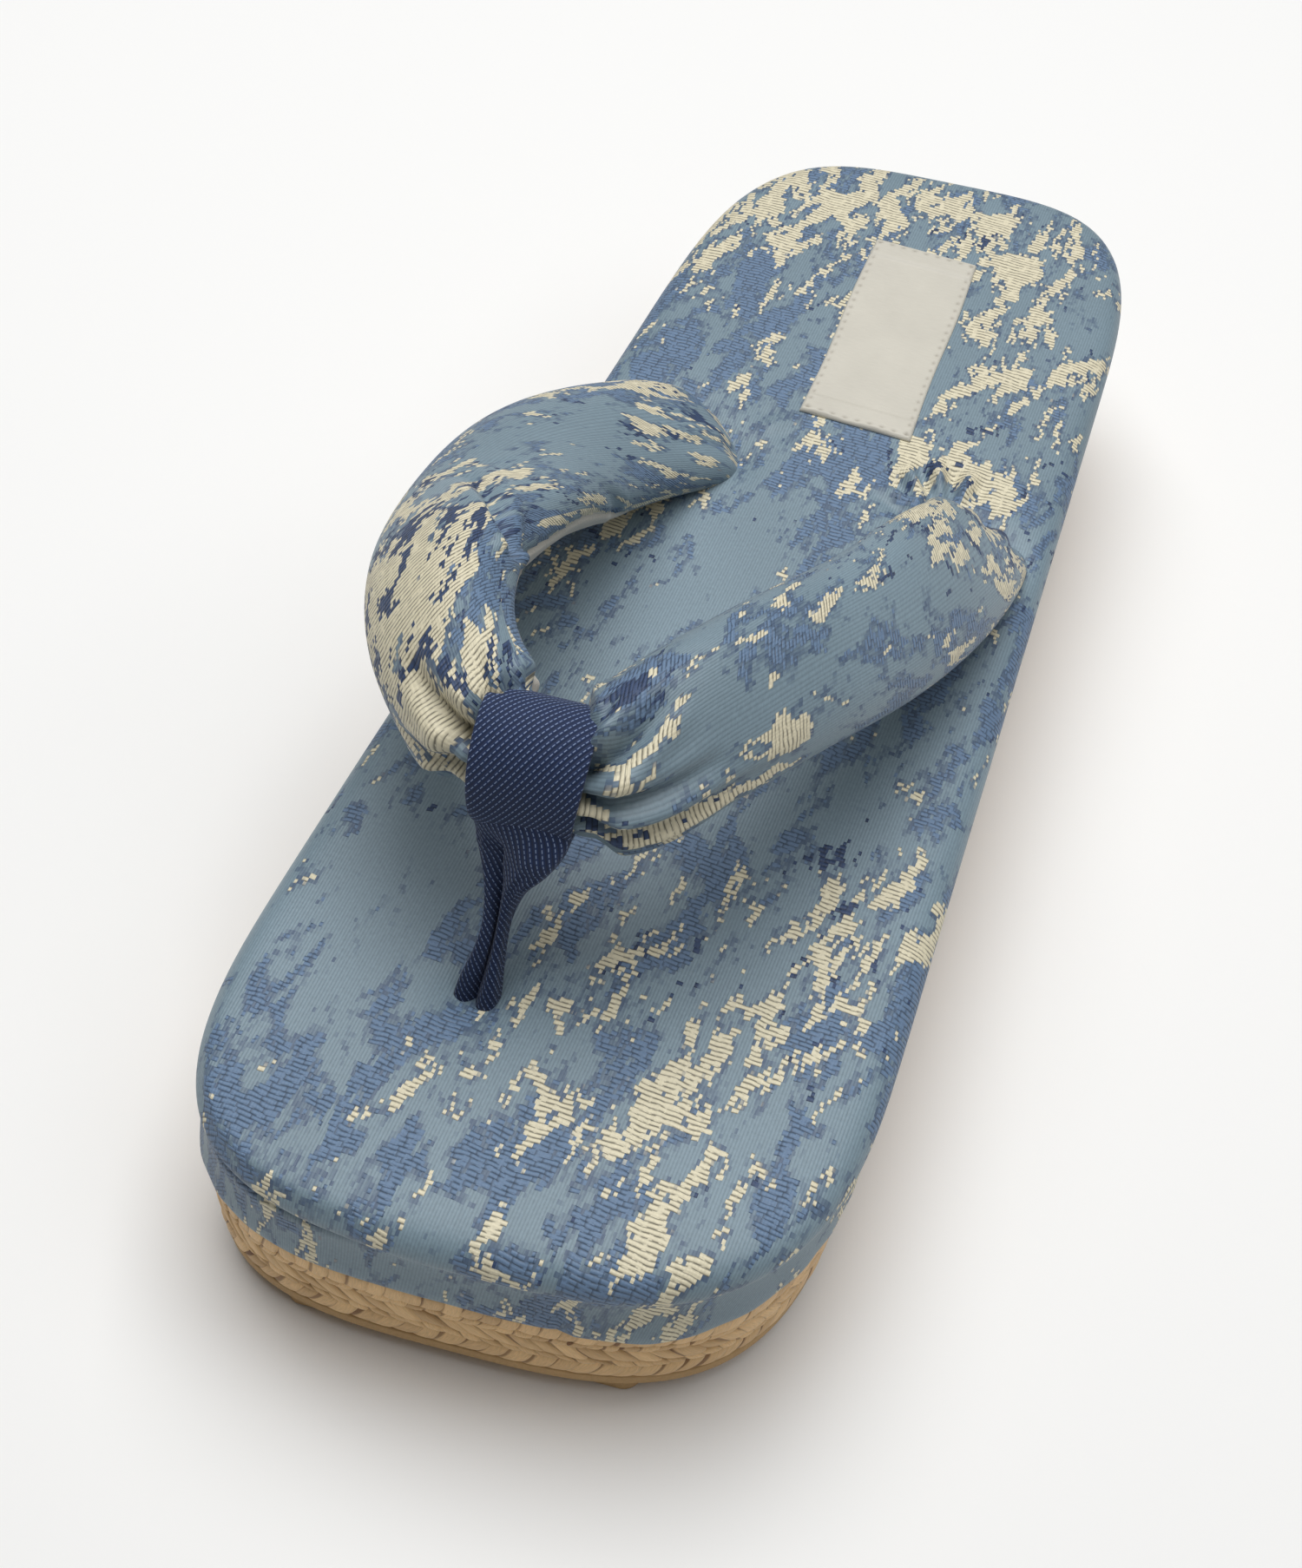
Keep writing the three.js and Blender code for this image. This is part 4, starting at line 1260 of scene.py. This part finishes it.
class SANDAL_OT_stage(bpy.types.Operator):
    """Set the floor, the soft lights and the camera"""

    bl_idname = "sandal.stage"
    bl_label = "Stage"

    def execute(self, context):
        """A pale floor, a large soft light above, a weaker one to the right, and the camera
        at its measured place, turned to the middle of the sandal."""
        scene, colours = context.scene, context.scene.sandal_colours
        mesh = bpy.data.meshes.new("floor")
        reach = np.linspace(-FLOOR_REACH, FLOOR_REACH, FLOOR_POINTS)
        x, y = np.meshgrid(reach, reach)
        corners = np.stack([x, y, np.zeros_like(x)], -1).reshape(-1, 3)
        index = np.arange(FLOOR_POINTS ** 2).reshape(FLOOR_POINTS, FLOOR_POINTS)
        quads = np.stack([index[:-1, :-1], index[:-1, 1:], index[1:, 1:], index[1:, :-1]], -1)
        mesh.from_pydata(corners.tolist(), [], quads.reshape(-1, 4).tolist())
        paper, tree, shader = new_material("floor_paper", Roughness=0.9, Specular_IOR_Level=0.1)
        place = add(tree, "TexCoord", out=3)
        cloud = add(tree, "TexNoise", {"Vector": place, "Scale": 2, "Detail": 2})
        tint = add(tree, "MapRange", {"Value": cloud, "To Min": 0.985, "To Max": 1.015})
        tone = add(tree, "VectorMath", {0: colours.floor, "Scale": tint}, operation="SCALE")
        tree.links.new(tone, shader.inputs["Base Color"])
        mesh.materials.append(paper)
        floor = bpy.data.objects.new("floor", mesh)
        scene.collection.objects.link(floor)
        world = bpy.data.worlds.new("studio")
        world.use_nodes = True
        sky = world.node_tree.nodes["Background"].inputs
        sky["Color"].default_value = (1.0, 0.99, 0.97, 1)
        sky["Strength"].default_value = WORLD_STRENGTH
        scene.world = world
        for name, place, size, watts in LAMPS:
            lamp = bpy.data.lights.new(name, "AREA")
            lamp.shape = "SQUARE"
            lamp.size = size
            lamp.energy = watts
            shown = bpy.data.objects.new(name, lamp)
            scene.collection.objects.link(shown)
            back = unit(np.array(place) - np.array([0.0, 0.0, LIGHT_AIM_HEIGHT]))
            right = unit(np.cross([0.0, 0.0, 1.0], back))
            shown.matrix_world = standing(place, right, back)
        ahead = unit(np.array(CAMERA["ahead"]))
        right = unit(np.array(CAMERA["right"]) - ahead * np.dot(CAMERA["right"], ahead))
        lens = bpy.data.cameras.new("camera")
        lens.sensor_fit = "VERTICAL"
        lens.sensor_height = SENSOR_HEIGHT
        lens.lens = CAMERA["focal"] / IMAGE_HEIGHT * SENSOR_HEIGHT
        lens.clip_start = 0.01
        camera = bpy.data.objects.new("camera", lens)
        camera.matrix_world = standing((np.array(CAMERA["place"]) + MIDDLE) * MM, right, -ahead)
        scene.collection.objects.link(camera)
        scene.camera = camera
        scene.view_settings.view_transform = "Standard"
        return {"FINISHED"}


class SANDAL_PT_panel(bpy.types.Panel):
    """Lists the sandal's pieces and settings."""

    bl_idname = "SANDAL_PT_panel"
    bl_label = "Sandal"
    bl_space_type = "VIEW_3D"
    bl_region_type = "UI"
    bl_category = "Sandal"

    def draw(self, context):
        for group in (context.scene.sandal_sizes, context.scene.sandal_colours):
            for name in group.bl_rna.properties.keys():
                if name not in ("rna_type", "name"):
                    self.layout.prop(group, name)
        for operator in OPERATORS:
            self.layout.operator(operator.bl_idname)


OPERATORS = (
    SANDAL_OT_stage,
    SANDAL_OT_deck,
    SANDAL_OT_strap,
    SANDAL_OT_toe_loop,
    SANDAL_OT_straw_base,
    SANDAL_OT_sole,
    SANDAL_OT_label,
)
CLASSES = (SandalSizes, SandalColours, *OPERATORS, SANDAL_PT_panel)


def register():
    for each in CLASSES:
        bpy.utils.register_class(each)
    bpy.types.Scene.sandal_sizes = bpy.props.PointerProperty(type=SandalSizes)
    bpy.types.Scene.sandal_colours = bpy.props.PointerProperty(type=SandalColours)


def unregister():
    del bpy.types.Scene.sandal_colours
    del bpy.types.Scene.sandal_sizes
    for each in reversed(CLASSES):
        bpy.utils.unregister_class(each)


def main():
    register()
    for name in ("stage", "deck", "strap", "toe_loop", "straw_base", "sole", "label"):
        getattr(bpy.ops.sandal, name)()


if __name__ == "__main__":
    main()
